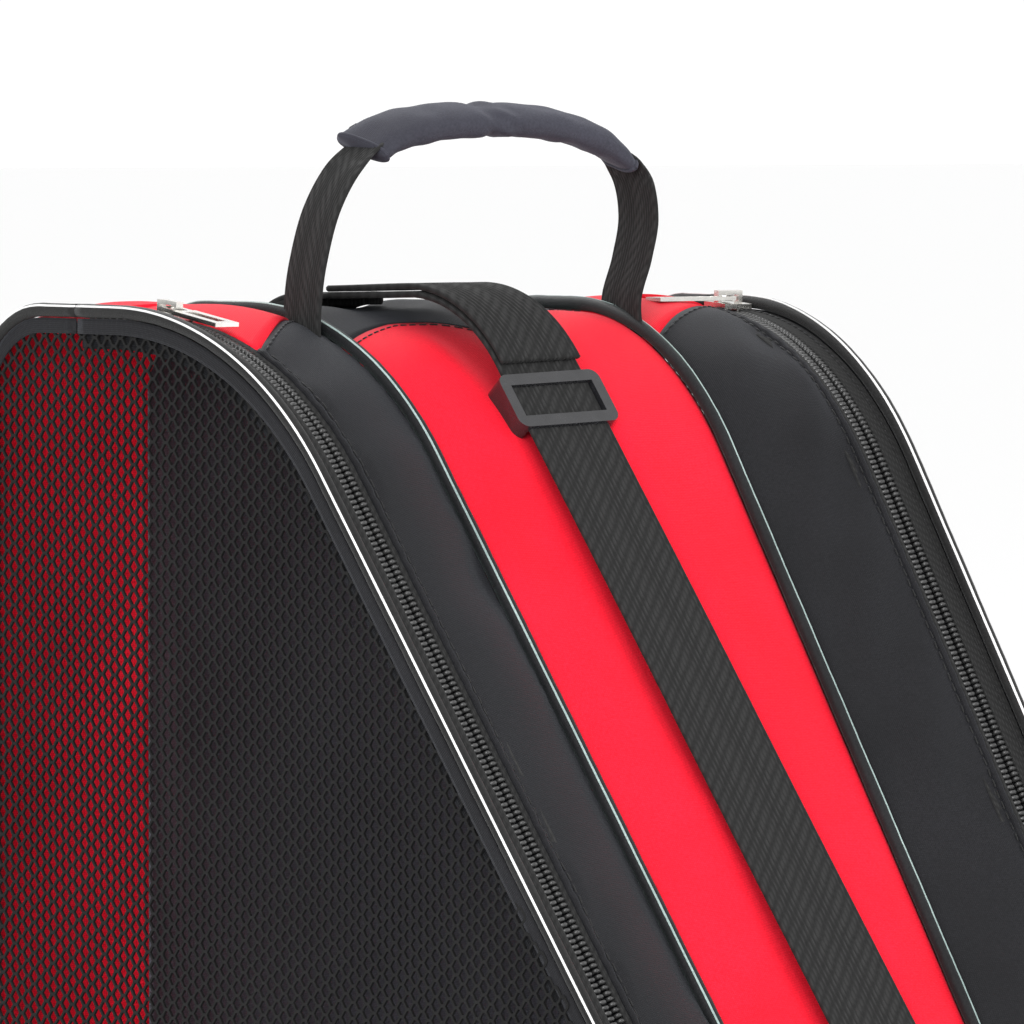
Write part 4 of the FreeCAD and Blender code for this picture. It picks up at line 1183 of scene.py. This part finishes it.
@dataclass
class NetSide:
    """One side of the bag: warp-knit net with six-sided holes, its hem and its inner binding.

    The net is one cloth. The part ahead of the hinge is the door.
    """

    shape: BagShape
    hand: Hand
    pitch: float = 5.6 * MM
    row: float = 2.12 * MM
    hole: float = 0.80
    thickness: float = 0.75 * MM
    margin: float = 4.4 * MM
    wave: float = 1.3 * MM

    def build(self) -> None:
        """Make the door's net, the rear net, the hems and the binding."""
        label, outer = self.hand.label, self.shape.outer(self.hand)
        cells = self.cells()
        door = cells[:, 2] >= self.shape.hinge_v
        net = self.net(f"door_net_{label}", cells[door], rear=False)
        dress(net, Finish.NET, None, (f"door_mesh_{label}",))
        start, end = (outer.plane.place(np.array((v, 0.2)), 0.0) for v in (0.040, 0.056))
        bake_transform(net)
        rear = self.net(f"rear_net_{label}", cells[~door], rear=True)
        dress(rear, Finish.NET, "bag", (f"rear_mesh_{label}",))
        side, v = self.shape.side, self.shape.hinge_v
        for place, span, body in (
            ("door", self.shape.door_span(side, v + 0.3 * MM), f"door_{label}"),
            ("rear", self.shape.rear_span(side, v - 0.3 * MM), "bag"),
        ):
            hem = side_strip(outer, span, (-0.1 * MM, -0.4 * MM), (-1.2 * MM, -5.4 * MM), 4.0 * MM)
            dress(shell(f"{place}_hem_{label}", *hem), Finish.BLACK, body)
        span = self.shape.door_span(side, v + 0.3 * MM)
        binding = side_strip(outer, span, (-1.8 * MM, -2.6 * MM), (-2.6 * MM, -9.4 * MM), 4.0 * MM)
        dress(shell(f"door_binding_cloth_{label}", *binding), Finish.BLACK, f"door_{label}",
              (f"door_binding_{label}",))

    def cells(self) -> np.ndarray:
        """Return the net's holes: column, row, and the v and z of each middle."""
        side = self.shape.side
        columns, rows = np.meshgrid(np.arange(-1, 74), np.arange(0, 190))
        v = columns * self.pitch + (rows % 2) * self.pitch / 2 + 1 * MM
        z = rows * self.row
        s = np.linspace(0, side.length, 1600)
        places, outward = side.spots(s)
        inside = np.full(v.shape, np.inf)
        for place, way in zip(places[::4], outward[::4]):
            depth = -((v - place[0]) * way[0] + (z - place[1]) * way[1])
            inside = np.minimum(inside, depth)
        keep = inside >= self.margin
        return np.stack((columns[keep], rows[keep], v[keep], z[keep]), -1)

    def net(self, name: str, cells: np.ndarray, rear: bool) -> bpy.types.Object:
        """Return a closed mesh of the strands round some holes.

        Args:
            name: the piece's name.
            cells: the holes.
            rear: whether it is the rear net, which leaves the strands that it shares to the door's.
        """
        own = {(int(c), int(r)) for c, r in cells[:, :2]}
        ring = self.corners()
        numbers, points, faces = {}, [], []

        def corner(cell: Cell, k: int) -> int:
            """Return the number of a hole's corner, which is added when it is first met."""
            key = (*cell, k % 6)
            if key not in numbers:
                numbers[key] = len(points)
                x, z = ring[k % 6]
                points.append((self.middle(cell) + x, cell[1] * self.row + z))
            return numbers[key]

        around = {n for cell in own for n in self.neighbours(cell)}
        for cell in sorted(own | around):
            near = self.neighbours(cell)
            for k in range(3):
                if self.holds(own, rear, cell, near[k]):
                    ends = ((cell, k), (cell, k + 1), (near[k], k + 3), (near[k], k + 4))
                    faces.append(tuple(corner(*end) for end in ends))
            for k in (0, 3):
                if self.holds(own, rear, cell, near[k], near[k - 1]):
                    ends = ((cell, k), (near[k], k + 4), (near[k - 1], k + 2))
                    faces.append(tuple(corner(*end) for end in ends))
        return self.solid_net(name, np.array(points), faces)

    def holds(self, own: set[Cell], rear: bool, *cells: Cell) -> bool:
        """Return whether a strand or node between cells belongs to this net.

        The door's net holds every strand that one of its holes touches. The rear net holds
        the rest, so that nothing is made twice.
        """
        if not any(cell in own for cell in cells):
            return False
        hinge = self.shape.hinge_v
        return not (rear and any(self.inside(cell) for cell in cells if self.middle(cell) >= hinge))

    def middle(self, cell: Cell) -> float:
        """Return how far forward a hole's middle is."""
        return cell[0] * self.pitch + (cell[1] % 2) * self.pitch / 2 + 1 * MM

    def inside(self, cell: Cell) -> bool:
        """Return whether a hole lies between the top and bottom hems."""
        return FLOOR + self.margin <= cell[1] * self.row <= TOP - self.margin

    def corners(self) -> list[tuple[float, float]]:
        """Return the six corners of a hole about its middle."""
        half, row = self.pitch / 2, self.row
        near = (half * half - row * row) / (2 * half)
        far = half - near
        tile = [(far, 0), (near, row), (-near, row), (-far, 0), (-near, -row), (near, -row)]
        return [(x * self.hole, z * self.hole) for x, z in tile]

    def neighbours(self, cell: Cell) -> list[Cell]:
        """Return the six holes round a hole, starting at its upper right."""
        column, row = cell
        right, left = (column + row % 2, column - 1 + row % 2)
        return [(right, row + 1), (column, row + 2), (left, row + 1),
                (left, row - 1), (column, row - 2), (right, row - 1)]

    def solid_net(self, name: str, flat: np.ndarray, faces: list[tuple[int, ...]]) -> bpy.types.Object:
        """Return a flat net given its thickness and its slight waves."""
        v, z = flat[:, 0], flat[:, 1]
        edge = smoothstep((v - 20 * MM) / (60 * MM)) * smoothstep((z - 20 * MM) / (60 * MM))
        edge = edge * smoothstep((400 * MM - z - v * 0.55) / (90 * MM))
        wave = self.wave * edge * np.sin(v / (34 * MM) + 0.8) * np.sin(z / (47 * MM) + v / (90 * MM))
        plane = self.shape.outer(self.hand).plane
        face, back = (plane.place(flat, n + wave) for n in (-0.45 * MM, -0.45 * MM - self.thickness))
        count = len(flat)
        uses: dict[tuple[int, int], list[tuple[int, int]]] = {}
        for ring in faces:
            for a, b in zip(ring, ring[1:] + ring[:1]):
                uses.setdefault((min(a, b), max(a, b)), []).append((a, b))
        rims = [pairs[0] for pairs in uses.values() if len(pairs) == 1]
        walls = [(b, a, a + count, b + count) for a, b in rims]
        backs = [tuple(k + count for k in reversed(ring)) for ring in faces]
        uv = np.concatenate((flat, flat))
        return new_object(name, np.concatenate((face, back)), list(faces) + backs + walls, uv, smooth=False)


def side_strip(rail: Rail, span: Span, n: Span, lifts: Span, step: float) -> tuple[np.ndarray, np.ndarray]:
    """Return the two faces of a flat band that lies in a rail's plane, along its outline."""
    s = spread(rail.wedge, span, step)
    across = np.linspace(*lifts, 5)
    faces = [np.stack([rail.line(s, side, lift) for lift in across], 1) for side in n]
    return faces[0], faces[1]


def edge_strip(
    rail: Rail, span: Span, n: Span, lifts: Span, step: float, columns: int = 7
) -> Frames:
    """Return the two faces of a band that lies on a rail's outline, and its outward directions."""
    s = spread(rail.wedge, span, step)
    across = np.linspace(*n, columns)
    faces = [np.stack([rail.line(s, place, lift) for place in across], 1) for lift in lifts]
    return faces[0], faces[1], rail.normals(s)


@dataclass
class Zip:
    """One side's zip: two woven tapes and two rows of coil teeth, with stitched edges."""

    shape: BagShape
    hand: Hand
    centre: float = -11 * MM
    half_gap: float = 0.5 * MM
    tooth: float = 2.3 * MM
    pitch: float = 1.7 * MM
    first_v: float = 50.0 * MM

    def build(self) -> None:
        """Make the tapes and teeth, and finish the stops."""
        label, outer = self.hand.label, self.shape.outer(self.hand)
        door = f"door_{label}"
        span = self.shape.door_span(self.shape.side, self.shape.hinge_v + 0.2 * MM)
        tapes = {"door": ((-2.0 * MM, -8.3 * MM), door), "bag": ((-13.8 * MM, -20.5 * MM), "bag")}
        for place, (n, body) in tapes.items():
            face, back, outward = edge_strip(outer, span, n, (-1.25 * MM, -2.2 * MM), 3.5 * MM)
            tape = shell(f"{place}_zip_tape_{label}", face, back)
            dress(tape, Finish.ZIP_TAPE, body, (f"{place}_tape_{label}",))
            if place == "door":
                row = face[:, 2] + outward * 0.12 * MM
                Sewing(2.2 * MM).sew(f"door_zip_stitching_{label}", [(row, outward)], body)
        face, back, _ = edge_strip(outer, span, (-4.0 * MM, -18.0 * MM), (-4.7 * MM, -5.2 * MM), 3.5 * MM)
        dress(shell(f"zip_guard_{label}", face, back), Finish.BLACK, "bag")
        for place, way, phase, body in (("door", 1, 0.0, door), ("bag", -1, 0.5, "bag")):
            teeth = self.teeth(f"{place}_coil_{label}", way, phase)
            dress(teeth, Finish.TEETH, body, (f"{place}_teeth_{label}",))
            keep_node(f"{place}_stops_{label}", Finish.NICKEL)

    def teeth(self, name: str, way: int, phase: float) -> bpy.types.Object:
        """Return one row of coil teeth, each a rounded hoop over the tape's edge.

        Args:
            name: the row's name.
            way: 1 for the door's row, -1 for the bag's.
            phase: how far the row is shifted, in teeth.
        """
        rail = self.shape.outer(self.hand)
        start, end = self.shape.door_span(self.shape.side, self.first_v)
        count = int((end - start) / self.pitch) - 1
        middles = start + (np.arange(count) + 0.5 + phase) * (end - start) / (count + 1)
        hoop = ((-0.55, -2.5), (-0.6, -1.5), (-0.32, -0.85), (0.32, -0.85), (0.6, -1.5), (0.55, -2.5))
        reach = np.array((self.half_gap, 1.1 * MM, self.half_gap + self.tooth))
        sizes, drops = (0.72, 1.0, 0.8), (0.35 * MM, 0.0, 0.3 * MM)
        rings = []
        for n, size, drop in zip(reach, sizes, drops):
            for shift, lift in np.array(hoop) * MM:
                rings.append(rail.line(middles + shift * size, self.centre + way * n, lift - drop))
        return short_tubes(name, np.stack(rings, 1).reshape(count, 3, 6, 3))


# Handle and strap ------------------------------------------------------------


def ribbed(
    path: np.ndarray, side: np.ndarray, width: float, thickness: float, rib: float
) -> tuple[np.ndarray, np.ndarray]:
    """Return the two faces of ribbed webbing along a path.

    Args:
        path: the middle of its outer face.
        side: the direction across it at each point.
        width, thickness: its section.
        rib: the spacing of its ribs.
    """
    columns = int(width / rib * 4) | 1
    across = np.linspace(-width / 2, width / 2, columns)
    along = unit_rows(np.gradient(path, axis=0))
    side = unit_rows(side - along * (side * along).sum(-1, keepdims=True))
    out = np.cross(side, along)
    ribs = 0.16 * MM * np.cos(2 * math.pi * across / rib)
    round_off = 1 - np.clip((np.abs(across) - width / 2 + 0.8 * MM) / (0.8 * MM), 0, 1) ** 2
    rise = (ribs - 0.16 * MM) * round_off
    half = thickness / 2 * np.sqrt(np.clip(round_off, 0.12, 1))
    middle = path[:, None] + side[:, None] * across[None, :, None] - out[:, None] * thickness / 2
    face = middle + out[:, None] * (half + rise)[None, :, None]
    back = middle - out[:, None] * (half + rise)[None, :, None]
    return face, back


@dataclass
class Handle:
    """The carry handle: a bail of webbing, sewn down at both feet, with a wrapped grip."""

    y: float = 117.7 * MM
    width: float = 25 * MM
    bottom: float = 394 * MM
    path: tuple[tuple[float, float, float], ...] = (
        (-57.0, 119.0, 381.0), (-57.1, 118.6, 391.0), (-55.6, 118.2, 403.5), (-51.5, 117.0, 419.0),
        (-43.5, 116.0, 431.6), (-32.0, 115.5, 439.2), (-16.0, 115.5, 442.7), (0.0, 116.0, 443.5),
        (18.0, 116.4, 443.2), (34.0, 116.8, 440.6), (46.5, 117.0, 435.6), (55.2, 117.4, 427.0),
        (58.2, 118.0, 415.5), (57.0, 119.4, 403.8), (54.6, 121.0, 392.5), (56.0, 121.8, 381.5),
    )
    grip: Span = (0.292, 0.700)

    def build(self) -> None:
        """Make the webbing, the grip and their stitching."""
        line = smooth_curve(np.array(self.path) * MM, 160)
        place = np.linspace(0, 1, len(line))

        def within_grip(early: float) -> np.ndarray:
            """Return 1 where the grip covers the band and 0 clear of it, with short ramps."""
            into, left = place - self.grip[0] + early, self.grip[1] + early - place
            return (smoothstep(into / 0.05) * smoothstep(left / 0.05))[:, None]

        under_grip, near_grip = within_grip(0.0), within_grip(0.05)
        side = np.array((-0.2, 0.0, 0.0)) * (1 - near_grip) + np.array((0.0, -1.0, 0.0))
        face, back = ribbed(line, side, self.width, 1.7 * MM, 1.6 * MM)
        middle = (face + back) / 2
        centre = middle.mean(1, keepdims=True)
        squeeze = 1 - 0.30 * near_grip[:, None] - 0.32 * under_grip[:, None]
        face, back = centre + (face - centre) * squeeze, centre + (back - centre) * squeeze
        web = shell("handle_band", face, back)
        dress(web, Finish.WEBBING, None, ("handle_webbing", "handle_foot_left", "handle_foot_right"))
        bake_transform(web)
        self.make_grip(line, place)

    def make_grip(self, line: np.ndarray, place: np.ndarray) -> None:
        """Make the wrapped grip: a slim padded sleeve, flattened at its ends and creased once."""
        inside = (place >= self.grip[0]) & (place <= self.grip[1])
        path = smooth_curve(line[inside][::4], 96)
        t = np.linspace(0, 1, len(path))
        end = smoothstep(np.minimum(t, 1 - t) / 0.16)
        crease = np.exp(-(((t - 0.43) / 0.022) ** 2)) + 0.5 * np.exp(-(((t - 0.50) / 0.018) ** 2))
        ripple = 0.1 * MM * np.sin(t * 41) + 0.08 * MM * np.sin(t * 67 + 1)
        half_wide = 10.2 * MM - 0.4 * MM * end - 0.7 * MM * crease + ripple
        half_tall = 2.6 * MM + 1.5 * MM * end - 0.7 * MM * crease + ripple
        _, up, across = path_frames(path, np.broadcast_to((0.0, -0.25, 1.0), path.shape))
        turn = np.linspace(0, 2 * math.pi, 40, endpoint=False)
        round_x, round_z = (np.sign(f(turn)) * np.abs(f(turn)) ** 0.8 for f in (np.cos, np.sin))
        fold = 0.35 * MM * np.exp(-(((turn - 4.5) / 0.16) ** 2))
        skin = across[:, None] * (half_wide[:, None] * round_x)[..., None]
        skin = skin + up[:, None] * (half_tall[:, None] * round_z - fold)[..., None]
        wrinkle = Wrinkles(0.22 * MM, 3, 14 * MM, 1.2).relief(t[:, None] * 92 * MM, turn[None] * 9 * MM)
        gather = 0.3 * MM * np.exp(-(((t - 0.46) / 0.06) ** 2))[:, None]
        gather = gather * np.sin(turn[None] * 5 + t[:, None] * 60)
        out = unit_rows(skin)
        points = path[:, None] - up[:, None] * 0.9 * MM + skin + out * (wrinkle + gather)[..., None]
        closed = points.reshape(-1, 3)
        faces = grid_faces(len(path), 40, closed=True).tolist()
        last = (len(path) - 1) * 40
        faces += [list(range(40)), list(range(last, last + 40))]
        arc = turn * 9 * MM
        uv = np.stack(np.broadcast_arrays(arc[None], (t * 92 * MM)[:, None]), -1)
        item = new_object("handle_sleeve", closed, faces, uv)
        dress(item, Finish.GRIP, "handle", ("handle_grip",))
        self.trim_grip(points, path)

    def trim_grip(self, points: np.ndarray, path: np.ndarray) -> None:
        """Add the folded hems at the grip's ends and the stitches along its front."""
        hems = []
        for name, row in (("left", 1), ("right", len(points) - 2)):
            ring = np.concatenate((points[row], points[row][:1]))
            out = unit_rows(ring - path[row])
            hem = tube(f"grip_hem_{name}", ring, out, 0.55 * MM, 8)
            hems.append(dress(hem, Finish.GRIP, "handle"))
        front = points[4:-4, 18]
        out = unit_rows(front - path[4:-4])
        Sewing(3.0 * MM, 1.6 * MM, 0.3 * MM).sew("grip_stitching", [(front + out * 0.1 * MM, out)], "handle")


@dataclass
class Strap:
    """The shoulder strap: slanting ribbed webbing, doubled above its buckle, sewn at both ends."""

    shape: BagShape
    width: float = 27 * MM
    skew: float = 0.075
    crossing: float = -0.4 * MM
    end_z: float = 190 * MM
    back_v: float = 16 * MM
    double_v: float = 40 * MM
    droop: float = 1.4 * MM

    def line(self, start: float, end: float, lift: float, wave: float) -> Frames:
        """Return the middle of the strap's outer face, its outward and sideways directions."""
        rail = self.shape.middle()
        s = spread(rail.wedge, (start, end), 2.0 * MM)
        path = rail.line(s, 0.0, lift)
        path = path + rail.normals(s) * (wave * np.sin((s - start) / (23 * MM)))[:, None]
        ridge = rail.wedge.parts[5]["at"] - 25 * MM
        path[:, 2] -= self.droop * smoothstep((ridge - s) / (60 * MM))
        path[:, 0] = self.skew * (self.crossing - path[:, 1])
        side = np.broadcast_to((1.0, 0.0, 0.0), path.shape)
        return path, rail.normals(s), side

    def build(self) -> None:
        """Make the strap, its doubling, its sewn patches and its stitching."""
        wedge = self.shape.strap
        top, foot = wedge.along(Run.TOP, self.back_v), wedge.along(Run.SLOPE, self.end_z)
        doubled = (wedge.along(Run.TOP, self.double_v), wedge.parts[5]["at"])
        stitches = []
        layers = {
            "strap_band": (top, foot, 4.1 * MM, 0.1 * MM, ("shoulder_strap",)),
            "strap_second_band": (*doubled, 6.2 * MM, 0.15 * MM, ("strap_doubling",)),
            "strap_top_patch": (top, top + 16 * MM, 2.2 * MM, 0.0, ("strap_anchor_top",)),
            "strap_toe_patch": (foot - 20 * MM, foot, 2.2 * MM, 0.0, ("strap_anchor_toe",)),
        }
        for name, (start, end, lift, wave, nodes) in layers.items():
            path, _, side = self.line(start, end, lift, wave)
            thickness = 2.6 * MM if name.endswith("patch") else 1.8 * MM
            face, back = ribbed(path, side, self.width, thickness, 1.6 * MM)
            dress(shell(name, face, back), Finish.WEBBING, "bag", nodes)
        for start, end in ((top + 2 * MM, top + 15 * MM), (foot - 15 * MM, foot - 2 * MM)):
            stitches += self.box_stitch(start, end)
        Sewing(2.4 * MM, 0.7 * MM, 0.3 * MM).sew("strap_stitching", stitches, "bag")

    def box_stitch(self, start: float, end: float) -> list[tuple[np.ndarray, np.ndarray]]:
        """Return the rows of a box stitch with a cross in it."""
        path, out, _ = self.line(start, end, 4.25 * MM, 0.0)
        half = np.array((self.width / 2 - 2.5 * MM, 0, 0))
        ramp = np.linspace(-1, 1, len(path))[:, None]
        rows = [(path - half, out), (path + half, out), (path + half * ramp, out), (path - half * ramp, out)]
        for k in (0, -1):
            bar = path[k] + half * np.linspace(-1, 1, 24)[:, None]
            rows.append((bar, np.broadcast_to(out[k], bar.shape)))
        return rows


# Back flap, buckle and studio ------------------------------------------------


@dataclass
class BackFlap:
    """The centre compartment's back: a cloth flap zipped on three sides in a cloth frame."""

    half: float = 41.9 * MM
    chain: float = 5.0 * MM
    top: float = 322 * MM
    bottom: float = 14.3 * MM
    y: float = 192.4 * MM
    pitch: float = 1.7 * MM

    def build(self) -> None:
        """Make the flap, its frame, the zip round it and the seams."""
        self.flap()
        self.frame()
        for name, inset, node, body in (
            ("flap_coil", -0.1 * MM, "flap_teeth", "centre_flap"),
            ("frame_coil", 2.7 * MM, "frame_teeth", "bag"),
        ):
            dress(self.coil(name, inset, 0.0 if body == "bag" else 0.5), Finish.TEETH, body, (node,))
        keep_node("flap_slider", Finish.NICKEL, 0.25 * MM)
        keep_node("flap_pull_tab", Finish.NICKEL, 0.2 * MM)
        path = self.arch(-3.2 * MM, 60)
        path[:, 1] += 1.0 * MM
        outward = np.broadcast_to((0.0, 1.0, 0.0), path.shape)
        Sewing(2.4 * MM).sew("flap_stitching", [(path, outward)], "centre_flap")

    def flap(self) -> None:
        """Make the flap as a soft panel of red cloth, pillowed a little in its middle."""
        across = np.linspace(-1, 1, 44)
        up = np.linspace(0, 1, 110)[:, None]
        x = self.half * across[None] + 0 * up
        z = self.bottom + (self.top - self.bottom) * up + 0 * across[None]
        hold = np.minimum(1, 6 * (1 - np.abs(across)))[None] * np.minimum(1, 14 * np.minimum(up, 1 - up))
        crease = Wrinkles(1.4 * MM, 17, 70 * MM, 0.3).relief(z, x)
        y = self.y - 0.3 * MM + (2.0 * MM * (1 - across[None] ** 2) + crease) * smoothstep(hold)
        face = np.stack((x, y, z), -1)
        back = face - np.array((0, 1.5 * MM, 0))
        dress(shell("flap_cloth", face, back), Finish.RED, "centre_flap", ("centre_flap",))

    def frame(self) -> None:
        """Make the cloth frame as one band round the flap, and the sill under it."""
        inner = self.arch(self.chain + 0.2 * MM, 60)
        outer = self.arch(self.chain + 10.8 * MM, 60)
        taper = 58.2 * MM
        outer[:, 0] = np.clip(outer[:, 0], -taper, taper)
        w = np.linspace(0, 1, 7)[None, :, None]
        face = inner[:, None] * (1 - w) + outer[:, None] * w
        face[..., 1] += 0.9 * MM * np.sin(math.pi * w[..., 0]) - 0.2 * MM
        back = face - np.array((0, 1.5 * MM, 0))
        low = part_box("centre_back_frame")[0]
        dress(shell("flap_frame_cloth", face, back), Finish.BLACK, "bag", ("centre_back_frame",))
        x = np.linspace(-57.2 * MM, 57.2 * MM, 40)[None]
        z = np.linspace(low[2], self.bottom - 0.6 * MM, 6)[:, None]
        y = self.y + 0.4 * MM * np.sin(x / (11 * MM)) + 0 * z
        sill = np.stack(np.broadcast_arrays(x, y, z), -1)
        dress(shell("flap_sill_cloth", sill, sill - np.array((0, 1.5 * MM, 0))), Finish.BLACK, "bag")

    def arch(self, outset: float, count: int) -> np.ndarray:
        """Return a square arch that stands outset beyond the flap's edge, its corners rounded."""
        half, top = self.half + outset, self.top + outset
        radius = max(3.0 * MM, outset + 3.0 * MM)
        rise = np.linspace(self.bottom, top - radius, count)
        turn = np.linspace(0, math.pi / 2, 9)[1:-1]
        right = [(half, z) for z in rise]
        right += [(half - radius + radius * math.cos(a), top - radius + radius * math.sin(a)) for a in turn]
        head = [(x, top) for x in np.linspace(half - radius, -half + radius, count // 3)]
        left = [(-x, z) for x, z in reversed(right)]
        return np.array([(x, self.y, z) for x, z in right + head + left])

    def coil(self, name: str, outset: float, phase: float) -> bpy.types.Object:
        """Return a row of coil teeth round the arch."""
        line = self.arch(outset + 1.1 * MM, 60)
        run = run_lengths(line)
        middles = np.arange(2 * MM + phase * self.pitch, run[-1] - 2 * MM, self.pitch)
        centre, ahead = read_rows(middles, run, line), read_rows(middles + MM, run, line)
        along = unit_rows(ahead - centre)
        out = np.array((0.0, 1.0, 0.0))
        side = np.cross(along, out)
        hoop = ((-0.55, -1.6), (-0.6, -0.6), (-0.32, 0.0), (0.32, 0.0), (0.6, -0.6), (0.55, -1.6))
        rings = []
        for offset, size in ((-1.1 * MM, 0.8), (0.0, 1.0), (1.1 * MM, 0.8)):
            for shift, lift in np.array(hoop) * MM:
                rings.append(centre + side * offset + along * shift * size + out * (lift - 0.05 * MM))
        return short_tubes(name, np.stack(rings, 1).reshape(len(middles), 3, 6, 3))


@dataclass
class Hardware:
    """The rigid pieces that keep their CAD shapes: sliders, pull tabs and the strap's buckle."""

    edge: float = 0.25 * MM

    def build(self) -> None:
        """Finish every kept piece."""
        for hand in Hand:
            keep_node(f"slider_{hand.label}", Finish.NICKEL, self.edge)
            keep_node(f"pull_tab_{hand.label}", Finish.NICKEL, self.edge)
        keep_node("tri_glide", Finish.BUCKLE, 0.7 * MM)


@dataclass
class Studio:
    """A pale floor, soft lights and the camera."""

    azimuth: float = -35.7
    elevation: float = 2.8
    distance: float = 2.2
    lens: float = 282.5
    aim: tuple[float, float, float] = (-0.0038, 0.0937, 0.3354)

    def build(self) -> None:
        """Set out the floor, the lights and the camera."""
        self.floor()
        self.light()
        self.camera()
        bpy.context.scene.view_settings.view_transform = "Standard"

    def floor(self) -> None:
        """Make the floor."""
        reach = 60.0
        corners = np.array([(-reach, -reach, -0.001), (reach, -reach, -0.001), (reach, reach, -0.001),
                            (-reach, reach, -0.001)])
        item = new_object("studio_floor", corners, [[0, 1, 2, 3]])
        material = bpy.data.materials.new("studio_paper")
        material.use_nodes = True
        surface = material.node_tree.nodes["Principled BSDF"]
        surface.label = "Pale paper"
        surface.inputs["Base Color"].default_value = (0.93, 0.93, 0.93, 1)
        surface.inputs["Roughness"].default_value = 0.9
        item.data.materials.append(material)

    def light(self) -> None:
        """Set an even sky and four soft lamps."""
        world = bpy.data.worlds.new("studio_sky")
        world.use_nodes = True
        sky = world.node_tree.nodes["Background"]
        sky.inputs["Color"].default_value = (1, 1, 1, 1)
        sky.inputs["Strength"].default_value = 1.05
        bpy.context.scene.world = world
        lamps = {
            "key": ((-0.9, -1.7, 1.9), 1.3, 30.0), "side": ((-1.9, -1.8, 0.8), 0.9, 62.0),
            "fill": ((1.9, -1.0, 1.2), 1.6, 14.0), "rim": ((0.3, 1.6, 1.8), 1.4, 16.0),
        }
        for name, (spot, size, power) in lamps.items():
            lamp = bpy.data.lights.new(name, "AREA")
            lamp.energy, lamp.size = power, size
            item = bpy.data.objects.new(name, lamp)
            item.location = spot
            way = np.array((0.0, 0.0, 0.25)) - np.array(spot)
            item.rotation_euler = (
                math.atan2(math.hypot(way[0], way[1]), -way[2]), 0, math.atan2(way[0], -way[1])
            )
            item.rotation_euler[2] += math.pi
            bpy.context.scene.collection.objects.link(item)

    def camera(self) -> None:
        """Place the camera on its bearing, looking at its aim."""
        lens = bpy.data.cameras.new("camera")
        lens.lens, lens.sensor_width = self.lens, 36.0
        lens.clip_end = 200.0
        item = bpy.data.objects.new("camera", lens)
        turn, rise = math.radians(self.azimuth), math.radians(self.elevation)
        away = np.array((math.sin(turn) * math.cos(rise), -math.cos(turn) * math.cos(rise), math.sin(rise)))
        item.location = np.array(self.aim) + self.distance * away
        item.rotation_euler = (math.pi / 2 - rise, 0, turn)
        bpy.context.scene.collection.objects.link(item)
        bpy.context.scene.camera = item


def main() -> None:
    """Build the bag's sub-assemblies in order, then the studio."""
    logging.basicConfig(level=logging.INFO, format="%(name)s %(message)s")
    shape = BagShape()
    for hand in Hand:
        SideCloth(shape, hand, *SEAMS[hand.label]).build()
        NetSide(shape, hand).build()
        Zip(shape, hand).build()
    CentreCloth(shape).build()
    Lining(shape).build()
    Piping(shape).build()
    Handle().build()
    Strap(shape).build()
    BackFlap().build()
    Hardware().build()
    Studio().build()


if __name__ == "__main__":
    main()
